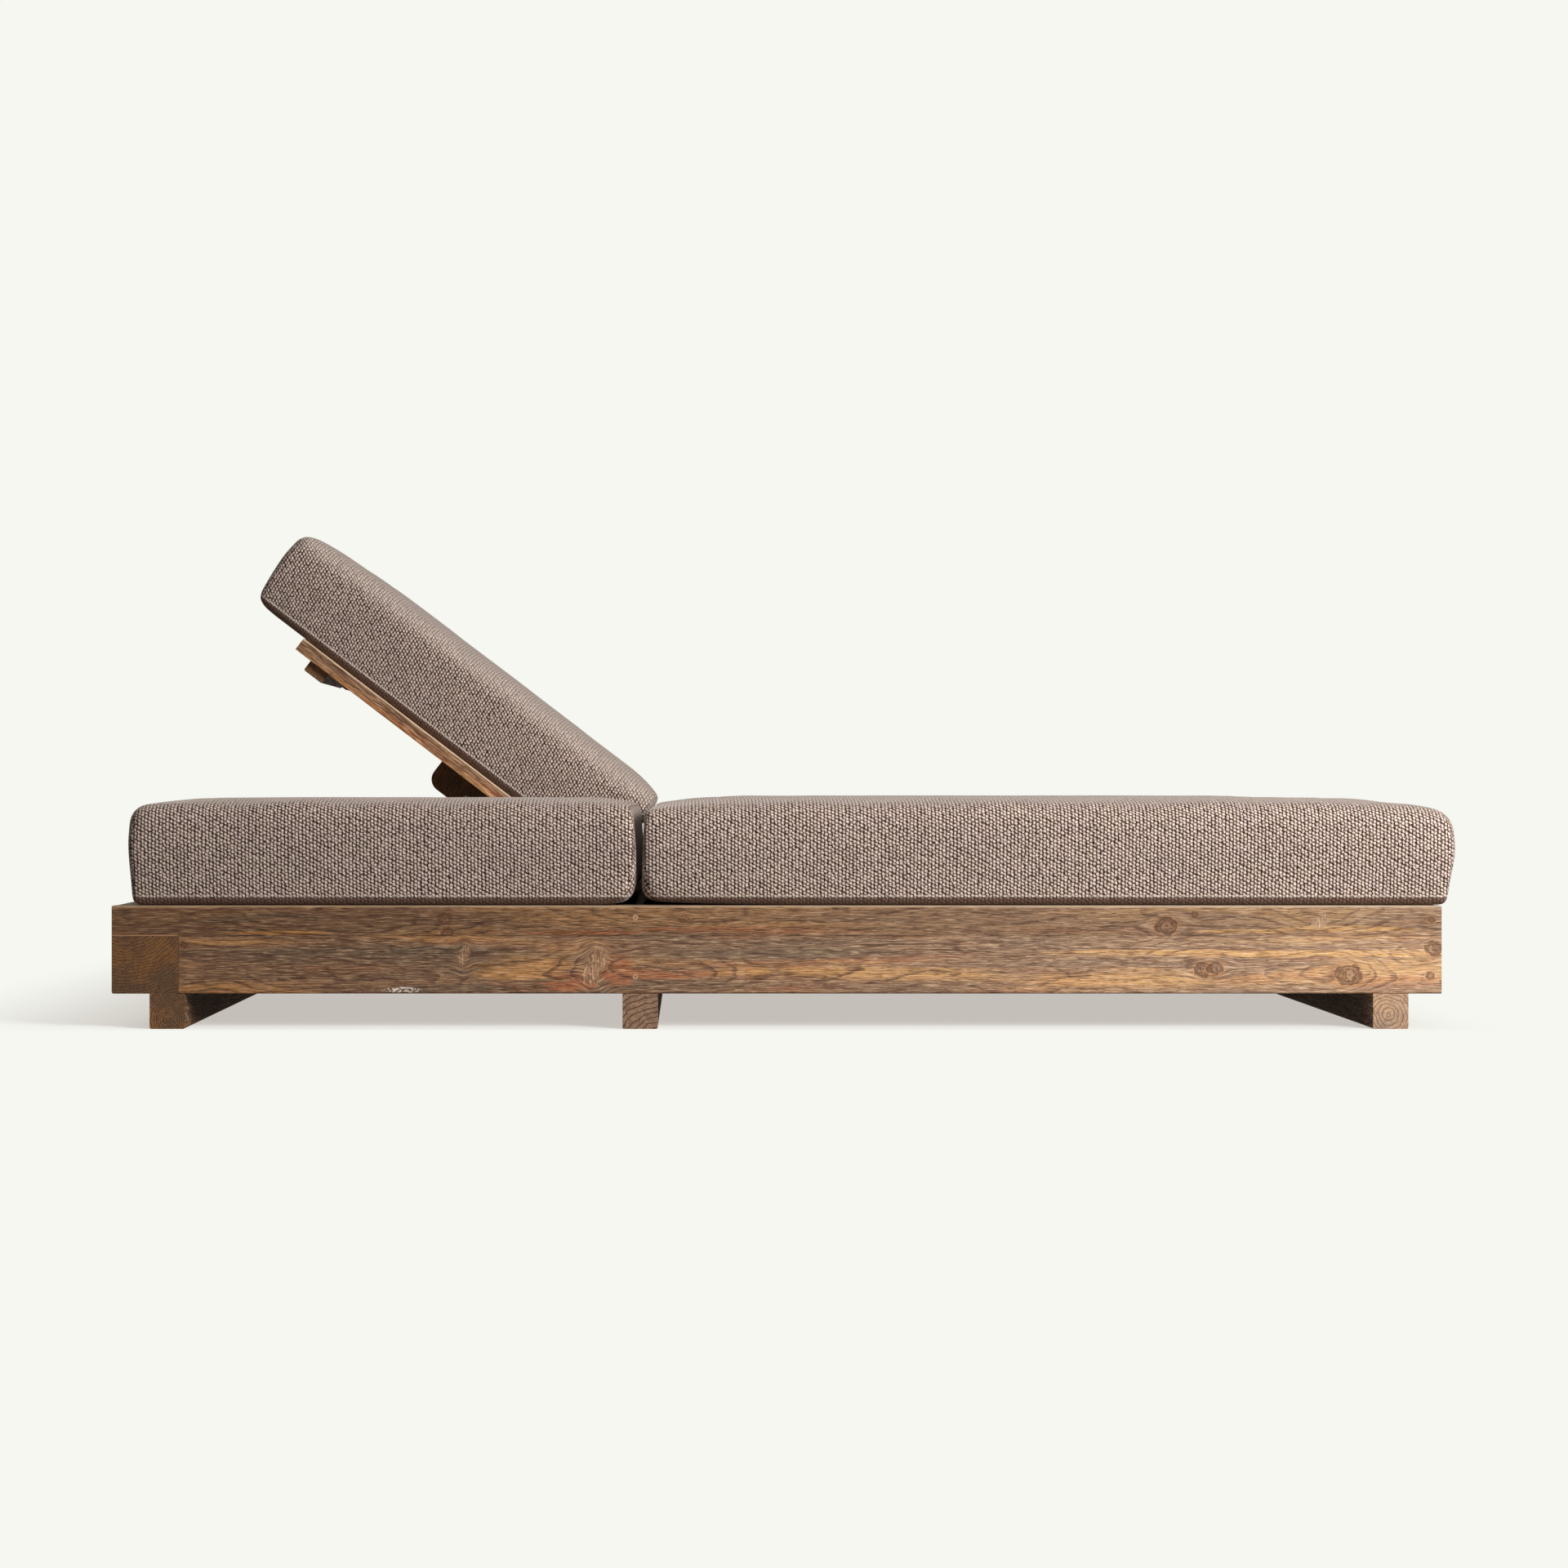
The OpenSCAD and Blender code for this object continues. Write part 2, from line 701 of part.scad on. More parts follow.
module back_hinge_leaves(side) {
  on_back(side) hinge_leaves(side, -1, back_knuckles);
}

module back_hinge_screws(side) {
  on_back(side) hinge_screws(side, -1);
}

// Prop: a board that turns on the bolt between the cleats, with a round foot
module prop(side) {
  color(TEAK_DARK)
    on_side(side) on_back(side) on_bolt(side)
      translate([0, bay_mid, 0])
        difference() {
          union() {
            translate([-prop_l, -prop_w / 2, -prop_t / 2]) cube([prop_l, prop_w, prop_t]);
            rod_y(-prop_w / 2, prop_w / 2, prop_eye_r);
            translate([-prop_l, 0, 0]) rod_y(-prop_w / 2, prop_w / 2, prop_t / 2);
          }
          rod_y(-prop_w, prop_w, bolt_r + fit_gap);
        }
}

// Cushions

// Points on each corner's arc and on each straight side between two arcs
corner_n = 6;
side_n = 6;
ring_n = 4 * (corner_n + side_n);

// One point of a cushion's outline seen from above, half sizes a and b, drawn in along the sides
function outline(a, b, r, k) =
  let (
    quarter = floor(k / (corner_n + side_n)),
    i = k % (corner_n + side_n),
    sx = [1, -1, -1, 1][quarter],
    sy = [1, 1, -1, -1][quarter],
    start = quarter * 90,
    arc = start + 90 * min(i, corner_n - 1) / (corner_n - 1),
    u = max(0, i - corner_n + 1) / (side_n + 1),
    nx = [-1, -1, 1, 1][quarter],
    ny = [1, -1, -1, 1][quarter],
    from = [sx * (a - r) + r * cos(arc), sy * (b - r) + r * sin(arc)],
    to = [nx * (a - r) + r * cos(arc), ny * (b - r) + r * sin(arc)],
    inward = -cushion_draw * sin(180 * u) * [cos(arc), sin(arc)]
  )
  from + (to - from) * u + inward;

// The rings of a cushion's profile from bottom to top, each [inset, height, scale, crown share]
arc_n = 4;
function profile(t, top_r) = concat(
  [for (s = [0.35, 0.75]) [cushion_bulge + cushion_bottom_r, 0, s, 0]],
  [for (i = [0 : arc_n]) let (g = 90 * i / arc_n)
    [cushion_bulge + cushion_bottom_r * (1 - sin(g)), cushion_bottom_r * (1 - cos(g)), 1, 0]],
  [for (i = [1 : 3]) let (h = i / 4)
    [cushion_bulge * (1 - sin(180 * h)), cushion_bottom_r + h * (t - cushion_bottom_r - top_r), 1, 0]],
  [for (i = [0 : arc_n]) let (g = 90 * i / arc_n)
    [cushion_bulge + top_r * (1 - cos(g)), t - top_r * (1 - sin(g)), 1, 0]],
  [for (s = [0.9, 0.75, 0.55, 0.3]) [cushion_bulge + top_r, t, s, 1 - pow(s, 2.5)]]
);

// How much of the foot end's fall a point at x takes, from 0 to 1
function fall_share(x, l) = pow(max(0, (x - l / 2 + foot_fall_l) / foot_fall_l), 2);

// A cushion of length l, width w and edge thickness t, with its bottom's middle at the origin
module cushion(l, w, t, top_r, crown, fall) {
  rings = profile(t, top_r);
  points = concat(
    [[0, 0, 0]],
    [for (ring = rings) for (k = [0 : ring_n - 1])
      let (
        inset = ring[0],
        corner = max(cushion_corner_r - inset * 0.6, 4),
        p = outline(l / 2 - inset, w / 2 - inset, corner, k) * ring[2],
        lift = crown * ring[3],
        drop = fall * fall_share(p[0], l) * ring[1] / t
      )
      [p[0], p[1], ring[1] + lift - drop]],
    [[0, 0, t + crown]]
  );
  last = len(points) - 1;
  faces = concat(
    [for (k = [0 : ring_n - 1]) [0, 1 + k, 1 + (k + 1) % ring_n]],
    [for (i = [0 : len(rings) - 2]) for (k = [0 : ring_n - 1])
      let (a = 1 + i * ring_n + k, b = 1 + i * ring_n + (k + 1) % ring_n)
      [a, a + ring_n, b]],
    [for (i = [0 : len(rings) - 2]) for (k = [0 : ring_n - 1])
      let (a = 1 + i * ring_n + k, b = 1 + i * ring_n + (k + 1) % ring_n)
      [b, a + ring_n, b + ring_n]],
    [for (k = [0 : ring_n - 1]) [last, last - ring_n + (k + 1) % ring_n, last - ring_n + k]]
  );
  polyhedron(points = points, faces = faces, convexity = 4);
}

module seat_cushion(side) {
  color(FABRIC)
    on_side(side)
      translate([seat_cushion_x + seat_cushion_l / 2, frame_w / 4, cushion_z])
        cushion(seat_cushion_l, cushion_w, cushion_t, seat_top_r, cushion_crown, foot_fall);
}

module back_cushion(side) {
  slide = side == FAR ? far_slide : 0;
  crown = side == FAR ? raised_crown : cushion_crown;
  l = side == FAR ? back_cushion_l + raised_stretch : back_cushion_l;
  color(FABRIC)
    on_side(side) on_back(side)
      translate([split_x - cushion_gap / 2 - l / 2 - slide, frame_w / 4, cushion_z])
        cushion(l, cushion_w, cushion_t, back_top_r, crown, 0);
}

// Puts the origin under the middle of the lounger
module placed() {
  translate([-origin_x, 0, 0]) children();
}

placed() head_end_beam();
placed() head_end_lip();
placed() rail_lower(NEAR);  // near_rail_lower
placed() rail_upper(NEAR);  // near_rail_upper
placed() rail_lower(FAR);  // far_rail_lower
placed() rail_upper(FAR);  // far_rail_upper
placed() centre_rail_lower();
placed() centre_rail_upper();
placed() foot_rail_lower();
placed() foot_rail_upper();
placed() leg_beam(head_leg_x);  // head_leg_beam
placed() leg_beam(middle_leg_x);  // middle_leg_beam
placed() leg_beam(foot_leg_x);  // foot_leg_beam
placed() hinge_beam(NEAR);  // near_hinge_beam
placed() hinge_beam(FAR);  // far_hinge_beam
placed() seat_bearers(NEAR);  // near_seat_bearers
placed() seat_bearers(FAR);  // far_seat_bearers
placed() seat_ledgers(NEAR);  // near_seat_ledgers
placed() seat_ledgers(FAR);  // far_seat_ledgers
placed() seat_slats(NEAR);  // near_seat_slats
placed() seat_slats(FAR);  // far_seat_slats
placed() prop_rack(NEAR);  // near_prop_rack
placed() prop_rack(FAR);  // far_prop_rack
placed() leg_screws();
placed() rail_screws();
placed() rail_plugs();
placed() hinge_leaves(NEAR, 1, frame_knuckles);  // near_frame_hinge_leaves
placed() hinge_leaves(FAR, 1, frame_knuckles);  // far_frame_hinge_leaves
placed() hinge_screws(NEAR, 1);  // near_frame_hinge_screws
placed() hinge_screws(FAR, 1);  // far_frame_hinge_screws
placed() hinge_pins(NEAR);  // near_hinge_pins
placed() hinge_pins(FAR);  // far_hinge_pins
placed() seat_cushion(NEAR);  // near_seat_cushion
placed() seat_cushion(FAR);  // far_seat_cushion
placed() back_slats(NEAR);  // near_back_slats
placed() back_slats(FAR);  // far_back_slats
placed() head_battens(NEAR);  // near_head_battens
placed() head_battens(FAR);  // far_head_battens
placed() middle_batten(NEAR);  // near_middle_batten
placed() middle_batten(FAR);  // far_middle_batten
placed() foot_batten(NEAR);  // near_foot_batten
placed() foot_batten(FAR);  // far_foot_batten
placed() prop_cleats(NEAR);  // near_prop_cleats
placed() prop_cleats(FAR);  // far_prop_cleats
placed() prop_bolt(NEAR);  // near_prop_bolt
placed() prop_bolt(FAR);  // far_prop_bolt
placed() back_hinge_leaves(NEAR);  // near_back_hinge_leaves
placed() back_hinge_leaves(FAR);  // far_back_hinge_leaves
placed() back_hinge_screws(NEAR);  // near_back_hinge_screws
placed() back_hinge_screws(FAR);  // far_back_hinge_screws
placed() prop(NEAR);  // near_prop
placed() prop(FAR);  // far_prop
placed() back_cushion(NEAR);  // near_back_cushion
placed() back_cushion(FAR);  // far_back_cushion
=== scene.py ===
"""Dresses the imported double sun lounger: weathered teak, coarse woven cushions, plain steel and a pale studio."""

import logging
import math
from collections.abc import Sequence
from dataclasses import astuple, dataclass
from enum import Enum

import bmesh
import bpy
import numpy as np
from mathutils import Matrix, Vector


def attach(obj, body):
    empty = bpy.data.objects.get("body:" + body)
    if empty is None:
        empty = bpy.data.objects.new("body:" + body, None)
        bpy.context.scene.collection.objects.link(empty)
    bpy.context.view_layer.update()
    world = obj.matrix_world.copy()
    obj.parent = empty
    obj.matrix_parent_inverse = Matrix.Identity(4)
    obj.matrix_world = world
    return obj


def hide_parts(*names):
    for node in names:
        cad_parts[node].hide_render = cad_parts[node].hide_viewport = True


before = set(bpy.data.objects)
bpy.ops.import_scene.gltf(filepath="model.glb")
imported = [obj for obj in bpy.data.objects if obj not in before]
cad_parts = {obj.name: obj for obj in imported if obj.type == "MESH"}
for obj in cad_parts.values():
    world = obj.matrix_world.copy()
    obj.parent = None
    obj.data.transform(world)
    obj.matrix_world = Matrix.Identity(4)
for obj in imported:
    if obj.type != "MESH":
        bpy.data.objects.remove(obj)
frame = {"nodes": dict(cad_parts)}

log = logging.getLogger("lounger")

Number = float | np.ndarray
Point = tuple[float, float, float]
Colour = tuple[float, float, float, float]

HINGE: Point = (-0.2515, 0.0, 0.178)
FAR_BOLT: Point = (-0.555801, 0.39, 0.341422)
RAISED = 37.4
PROP_TURN = -48.612
DECK = 0.185
BOARD_JOINT = 0.140
SLAT_PITCH = 0.10686


def paint(red: int, green: int, blue: int) -> Colour:
    """Turns a colour as seen on a screen into the linear values that a shader takes.

    Args:
        red: Red from 0 to 255.
        green: Green from 0 to 255.
        blue: Blue from 0 to 255.

    Returns:
        The linear red, green, blue and a full alpha.
    """

    def linear(value: int) -> float:
        """Linear light of one channel."""
        share = value / 255
        return share / 12.92 if share <= 0.04045 else ((share + 0.055) / 1.055) ** 2.4

    return (linear(red), linear(green), linear(blue), 1.0)


GOLD = paint(205, 155, 98)
RUST = paint(172, 108, 70)
SMOKE = paint(112, 96, 80)
BARK = paint(70, 46, 34)
DULL_WOOD, CLEAN_WOOD = paint(132, 102, 80), paint(158, 124, 95)
LATE_WOOD = paint(92, 62, 44)
# Painted shade for the wood deep under the frame.
UNDER_FRAME_SHADE = paint(44, 28, 20)
CRACK = paint(52, 35, 26)
# Painted highlight along the boards' upper edges.
GLUE = paint(214, 176, 138)
PAINTED_EDGE_HIGHLIGHT = paint(214, 190, 164)
OLD_PAINT = paint(226, 218, 208)
KNOT_HALO, KNOT_HEART, KNOT_RING = paint(176, 122, 80), paint(132, 104, 82), paint(64, 43, 32)
PALE_FIGURE, DARK_STRAND, LIT_STRAND = paint(178, 142, 112), paint(100, 72, 54), paint(222, 192, 160)
DULL_YARN, PALE_YARN = paint(151, 127, 116), paint(197, 171, 158)
STRAW_YARN = paint(180, 160, 136)
# Painted highlight on the top of each woven grain.
PAINTED_YARN_HIGHLIGHT = paint(252, 234, 222)
# Painted shade in the hollows between the woven grains.
WEAVE_GAP_SHADE = paint(36, 21, 16)
SEAM = paint(56, 40, 33)
THREAD = paint(240, 222, 206)
# Painted highlight for a cushion's upper shoulder.
PAINTED_SHOULDER_HIGHLIGHT = paint(206, 190, 178)
SHEEN = paint(232, 218, 208)


class Grain(Enum):
    """The way that the fibres of a board run."""

    ALONG = "along the lounger"
    ACROSS = "across the lounger"


@dataclass(frozen=True, eq=False)
class Value:
    """A number, point or colour in a node tree, with the sums and mixes that the finishes need."""

    graph: "Graph"
    socket: bpy.types.NodeSocket

    def calc(self, operation: str, *others: "Feed") -> "Value":
        """One sum on this number and up to two others, by Blender's name for the sum."""
        return self.graph.read("Math", dict(enumerate((self, *others))), operation=operation)

    def __add__(self, other: "Feed") -> "Value":
        """This number and the other."""
        return self.calc("ADD", other)

    def __sub__(self, other: "Feed") -> "Value":
        """This number less the other."""
        return self.calc("SUBTRACT", other)

    def __rsub__(self, other: float) -> "Value":
        """The other number less this one."""
        return self.calc("MULTIPLY_ADD", -1.0, other)

    def __mul__(self, other: "Feed") -> "Value":
        """This number times the other."""
        return self.calc("MULTIPLY", other)

    def __truediv__(self, other: "Feed") -> "Value":
        """This number over the other."""
        return self.calc("DIVIDE", other)

    def __abs__(self) -> "Value":
        """This number without its sign."""
        return self.calc("ABSOLUTE")

    def most(self, other: "Feed") -> "Value":
        """The higher one of this number and the other."""
        return self.calc("MAXIMUM", other)

    def least(self, other: "Feed") -> "Value":
        """The lower one of this number and the other."""
        return self.calc("MINIMUM", other)

    def square(self, other: "Value") -> "Value":
        """The sum of the squares of this number and the other."""
        return self * self + other * other

    def reach(self, other: "Value") -> "Value":
        """The distance that this step makes with another at a right angle to it."""
        return self.square(other).calc("SQRT")

    def step(self, low: float, high: float) -> "Value":
        """A smooth step.

        Args:
            low: Where it is 0.
            high: Where it is 1; below low for a falling step.

        Returns:
            A share from 0 to 1.
        """
        if low < high:
            feeds = {0: self, 1: low, 2: high, 3: 0.0, 4: 1.0}
        else:
            feeds = {0: self, 1: high, 2: low, 3: 1.0, 4: 0.0}
        return self.graph.read("MapRange", feeds, interpolation_type="SMOOTHSTEP")

    def span(self, low: float, high: float) -> "Value":
        """Maps 0 to 1 onto low to high."""
        return self.calc("MULTIPLY_ADD", high - low, low)

    def sway(self, most: float) -> "Value":
        """Maps 0 to 1 onto -most to most."""
        return self.span(-most, most)

    def choose(self, low: "Feed", high: "Feed") -> "Value":
        """The first number where this share is 0, and the second where it is 1."""
        return self.graph.read("Mix", {0: self, 2: low, 3: high})

    def tint(self, low: "Feed", high: "Feed") -> "Value":
        """The first colour where this share is 0, and the second where it is 1."""
        return self.graph.read("Mix", {0: self, 6: low, 7: high}, 2, data_type="RGBA")

    def stain(self, tone: "Feed", share: "Value") -> "Value":
        """This colour with a tone over it, by the tone's share."""
        return share.tint(self, tone)

    def join(self, y: "Feed", z: "Feed" = 0.0) -> "Value":
        """The point whose parts are this number and the two others."""
        return self.graph.read("CombineXYZ", {0: self, 1: y, 2: z})

    def parts(self) -> tuple["Value", ...]:
        """The three parts of this point."""
        outputs = self.graph.add("SeparateXYZ", {0: self}).outputs
        return tuple(Value(self.graph, output) for output in outputs)

    def turned(self, centre: Point, degrees: float) -> "Value":
        """This point, turned about an axis along Y through the centre."""
        feeds = {"Vector": self, "Center": centre, "Angle": math.radians(degrees)}
        return self.graph.read("VectorRotate", feeds, rotation_type="Y_AXIS")

    def noise(self, scale: float, detail: float = 2.0, rough: float = 0.5) -> "Value":
        """Smooth noise from about 0.2 to 0.8 at this point, by its waves for each unit and its finer layers."""
        return self.graph.read("TexNoise", {"Vector": self, "Scale": scale, "Detail": detail, "Roughness": rough})

    def dice(self) -> tuple["Value", "Value"]:
        """A number and a point, from 0 to 1 in each part, that are unrelated at each point."""
        outputs = self.graph.add("TexWhiteNoise", {"Vector": self}, noise_dimensions="3D").outputs
        return Value(self.graph, outputs["Value"]), Value(self.graph, outputs["Color"])

    def relief(self, distance: float, strength: float) -> "Value":
        """The normal of this height, by the metres that a height of 1 stands for and how much of it shows."""
        return self.graph.read("Bump", {"Height": self, "Distance": distance, "Strength": strength})


Feed = Value | float | Sequence[float]


@dataclass
class Graph:
    """The node tree of a material or of the world."""

    owner: bpy.types.Material | bpy.types.World

    def __post_init__(self) -> None:
        """Empties the tree."""
        self.owner.use_nodes = True
        self.owner.node_tree.nodes.clear()

    def add(self, kind: str, feeds: dict[int | str, Feed] | None = None, **settings: object) -> bpy.types.Node:
        """Adds one node.

        Args:
            kind: The node's type, without its common prefix.
            feeds: What its inputs take, by index or name: another node's value, or a plain one.
            **settings: Properties of the node, set before its inputs.

        Returns:
            The new node.
        """
        tree = self.owner.node_tree
        node = tree.nodes.new("ShaderNode" + kind)
        for name, value in settings.items():
            setattr(node, name, value)
        for key, value in (feeds or {}).items():
            if isinstance(value, Value):
                tree.links.new(value.socket, node.inputs[key])
            else:
                node.inputs[key].default_value = value
        return node

    def read(self, kind: str, feeds: dict[int | str, Feed] | None = None, output: int | str = 0,
             **settings: object) -> Value:
        """Adds one node, as above, and reads one of its outputs, by index or name."""
        return Value(self, self.add(kind, feeds, **settings).outputs[output])

    def place(self) -> Value:
        """The point on the piece, in metres, as it is at rest."""
        return self.read("TexCoord", output="Object")

    def surface(self, colour: Feed, rough: Feed, normal: Feed, **values: Feed) -> bpy.types.Material:
        """Ends the material in one surface shader.

        Args:
            colour: Base colour.
            rough: Roughness.
            normal: Normal.
            **values: Other inputs, with spaces written as underscores.

        Returns:
            The material.
        """
        feeds = {"Base Color": colour, "Roughness": rough, "Normal": normal}
        feeds.update({name.replace("_", " "): value for name, value in values.items()})
        self.add("OutputMaterial", {0: self.read("BsdfPrincipled", feeds)})
        return self.owner


def dress(node: bpy.types.Object, finish: bpy.types.Material) -> None:
    """Gives a node its finish.

    Args:
        node: The node.
        finish: The finish.
    """
    node.data.materials.clear()
    node.data.materials.append(finish)
    log.info("%s: %s", node.name, finish.name)


def put(name: str, data: bpy.types.ID) -> bpy.types.Object:
    """Puts a new object in the scene.

    Args:
        name: Its name.
        data: Its mesh, lamp or camera.

    Returns:
        The object.
    """
    piece = bpy.data.objects.new(name, data)
    bpy.context.scene.collection.objects.link(piece)
    return piece


@dataclass(frozen=True)
class Face:
    """A board's face: the place along its fibres and the height across them."""

    along: Value
    up: Value

    def off(self, x: float, z: float) -> tuple[Value, Value]:
        """How far a point of the face lies from a place on it, along the fibres and across them."""
        return self.along - x, self.up - z


@dataclass(frozen=True)
class Knot:
    """A knot in a board's face, by its place along the board and its height."""

    x: float
    z: float
    size: float
    dark: float = 1.0
    stretch: float = 1.2
    fray: float = 0.75
    waves: float = 13.0

    def draw(self, face: Face, colour: Value, height: Value) -> tuple[Value, Value]:
        """Paints the knot: broken rings about a dark heart, with a rusty halo.

        Args:
            face: The board's face.
            colour: The board's colour.
            height: The board's relief.

        Returns:
            The colour and the relief with the knot in them.
        """
        far, near = face.off(self.x, self.z)
        far = far / self.stretch
        plain = far.reach(near) / self.size
        frayed = far.join(near, self.x).noise(1.1 / self.size, 3.0, 0.6)
        reach = plain + frayed.sway(self.fray)
        colour = colour.stain(KNOT_HALO, reach.step(1.9, 0.7) * (0.45 * self.dark))
        colour = colour.stain(KNOT_HEART, reach.step(1.0, 0.3) * (0.6 * self.dark))
        rings = reach.step(1.3, 0.9) * (reach * self.waves).calc("SINE").step(0.2, 0.9)
        rim = reach.step(1.25, 1.0) * reach.step(0.6, 0.9)
        crack = plain.step(1.0, 0.5) * frayed.step(0.42, 0.34)
        dark = rings.most(rim).most(crack)
        return colour.stain(KNOT_RING, dark * (0.72 * self.dark)), height + dark * (-0.5 * self.dark)


@dataclass(frozen=True)
class Feather:
    """A pale figure in a board's face, where the fibres run across it."""

    x: float
    z: float
    wide: float
    high: float
    strength: float = 0.6
    bend: float = 1.0
    skew: float = -0.35
    fray: float = -0.9
    strands: tuple[float, float] = (300.0, 75.0)

    def draw(self, face: Face, colour: Value) -> Value:
        """Paints the figure: pale strands that fan out across the board.

        Args:
            face: The board's face.
            colour: The board's colour.

        Returns:
            The colour with the figure in it.
        """
        far, near = face.off(self.x, self.z)
        frayed = far.join(near, 0.5).noise(120.0)
        wide = (far + near * self.skew) / self.wide
        inside = (wide.square(near / self.high) + frayed.sway(self.fray)).step(1.1, 0.2)
        fan = (far * self.strands[0]).join(near * self.strands[1], 2.0).noise(1.0)
        colour = colour.stain(PALE_FIGURE, inside * self.strength)
        colour = colour.stain(DARK_STRAND, inside * fan.step(0.50, 0.38) * 0.6)
        return colour.stain(LIT_STRAND, inside * fan.step(0.55, 0.66) * 0.7)


@dataclass(frozen=True)
class Streak:
    """A long patch of another colour in a board's face."""

    x: float
    z: float
    long: float
    high: float
    colour: Colour
    strength: float = 0.7
    fray: float = -1.6

    def share(self, face: Face, frayed: Value) -> Value:
        """The share of the streak's colour at a point.

        Args:
            face: The board's face.
            frayed: Noise that frays the streak's edge.

        Returns:
            The share.
        """
        far, near = face.off(self.x, self.z)
        square = (far / self.long).square(near / self.high)
        return (square + frayed.sway(self.fray)).step(1.1, 0.3) * self.strength


@dataclass(frozen=True)
class Strokes:
    """Noise that is drawn out along the fibres: its waves for each metre along and across, and finer layers."""

    along: float
    across: float
    detail: float = 2.0
    rough: float = 0.55

    def read(self, run: Value, first: Value, up: Value) -> Value:
        """The noise at a distance along the fibres and two across them."""
        point = (run * self.along).join(first * self.across, up * self.across)
        return point.noise(1.0, self.detail, self.rough)


RIPPLE = Strokes(16.0, 70.0)
WARP = Strokes(5.0, 22.0)
TIDE = Strokes(4.0, 30.0, 1.0)
LINES = Strokes(11.0, 470.0, 2.0, 0.6)
FIBRES = Strokes(34.0, 780.0, 2.0, 0.65)
STREAKS = Strokes(2.6, 120.0, 3.0, 0.6)
PORES = Strokes(60.0, 1000.0, 1.0)
BANDS = Strokes(1.7, 24.0)
RUSTY = Strokes(3.1, 44.0)
CHECKS = Strokes(1.0, 330.0)


@dataclass(frozen=True)
class Teak:
    """Weathered teak: rings about a pith line, long fibres, and bands of grey brown and gold."""

    name: str
    grain: Grain
    pith: tuple[float, float] = (-0.70, -0.05)
    turn_centre: Point = (0.0, 0.0, 0.0)
    turn: float = 0.0
    ring: float = 0.0065
    board_w: float = 0.0
    shade: float = 1.0
    ring_depth: float = 0.5
    gold: float = 0.5
    knots: tuple[Knot, ...] = ()
    feathers: tuple[Feather, ...] = ()
    streaks: tuple[Streak, ...] = ()
    painted_shade_from: float = 0.0
    edge_z: float = 0.0
    joint_z: float = 0.0
    joint_x: float = 0.0
    fleck: tuple[float, float] | None = None
    gloss: float = 0.3
    edge_highlight: float = 0.55
    warmth: float = 1.0
    pith_sway: tuple[float, float] = (0.040, 0.045)
    warp_sway: tuple[float, float] = (0.009, 0.0025)
    glue_x: float = -0.912

    def coordinates(self, graph: Graph) -> tuple[Value, ...]:
        """The place in the board.

        Args:
            graph: The material's node tree.

        Returns:
            The distance along the fibres and the two across them.
        """
        place = graph.place()
        if self.turn:
            place = place.turned(self.turn_centre, self.turn)
        x, y, z = place.parts()
        return (x, y, z) if self.grain is Grain.ALONG else (y, x, z)

    def end_face(self, graph: Graph) -> Value:
        """1 on a face that cuts across the fibres, and 0 on the others."""
        parts = graph.read("TexCoord", output="Normal").parts()
        return abs(parts[0 if self.grain is Grain.ALONG else 1]).step(0.5, 0.8)

    def bend_fibres(self, face: Face) -> Value:
        """Leads the fibres round each knot and up through each feather.

        Args:
            face: The board's face.

        Returns:
            The height that the fibres' pattern is read at.
        """
        bent = face.up
        places = [(k.x, k.z, k.size * 2.6, k.size * 1.5, 0.8) for k in self.knots]
        places += [(f.x, f.z, f.wide * 1.1, f.high * 1.2, 0.8 * f.bend) for f in self.feathers if f.bend]
        for x, z, wide, high, strength in places:
            far, near = face.off(x, z)
            square = (far / wide).square(near / high)
            bent = near.calc("MULTIPLY_ADD", (square * -1.0).calc("EXPONENT") * -strength, bent)
        return bent

    def rings(self, at: tuple[Value, ...], ripple: Value, end_face: Value) -> tuple[Value, Value]:
        """Draws the rings about the pith line, whole on the end faces and broken up along the board.

        Args:
            at: The place in the board.
            ripple: Slow noise.
            end_face: 1 on the end faces.

        Returns:
            The rings' dark late wood, and how far the rings are warped.
        """
        run, first, up = at
        wander = (run * 2.6).join(0.0, 4.0).noise(1.0, 1.0)
        sink = (run * 3.4).join(7.0, 0.0).noise(1.0, 1.0)
        off_first = first - self.pith[0] + sink.sway(self.pith_sway[0])
        off_up = up - self.pith[1] + wander.sway(self.pith_sway[1])
        warp = WARP.read(*at).sway(self.warp_sway[0]) + ripple.sway(self.warp_sway[1])
        phase = ((off_first.reach(off_up) + warp) / self.ring).calc("FRACT")
        late = phase.step(0.62, 0.90) * phase.step(1.0, 0.95)
        return late * TIDE.read(*at).step(0.34, 0.62).span(0.40, 1.0).most(end_face), warp

    def material(self) -> bpy.types.Material:
        """Builds the finish.

        Returns:
            The material.
        """
        graph = Graph(bpy.data.materials.new(self.name))
        along, first, second = self.coordinates(graph)
        face = Face(along, second)
        up = self.bend_fibres(face)
        run = along
        if self.board_w:
            board = (first / self.board_w).calc("FLOOR")
            run = along + board.join(3.1, 0.7).dice()[0] * 9.0
        at = (run, first, up)
        ripple = RIPPLE.read(*at)
        end_face = self.end_face(graph)
        late, warp = self.rings(at, ripple, end_face)
        waved = (run, first, up + warp * 0.6)
        line, fibre, streak, band = (strokes.read(*waved) for strokes in (LINES, FIBRES, STREAKS, BANDS))
        pore = PORES.read(*at).step(0.60, 0.68)
        rust = RUSTY.read(run + 5.0, first, up + 3.0)

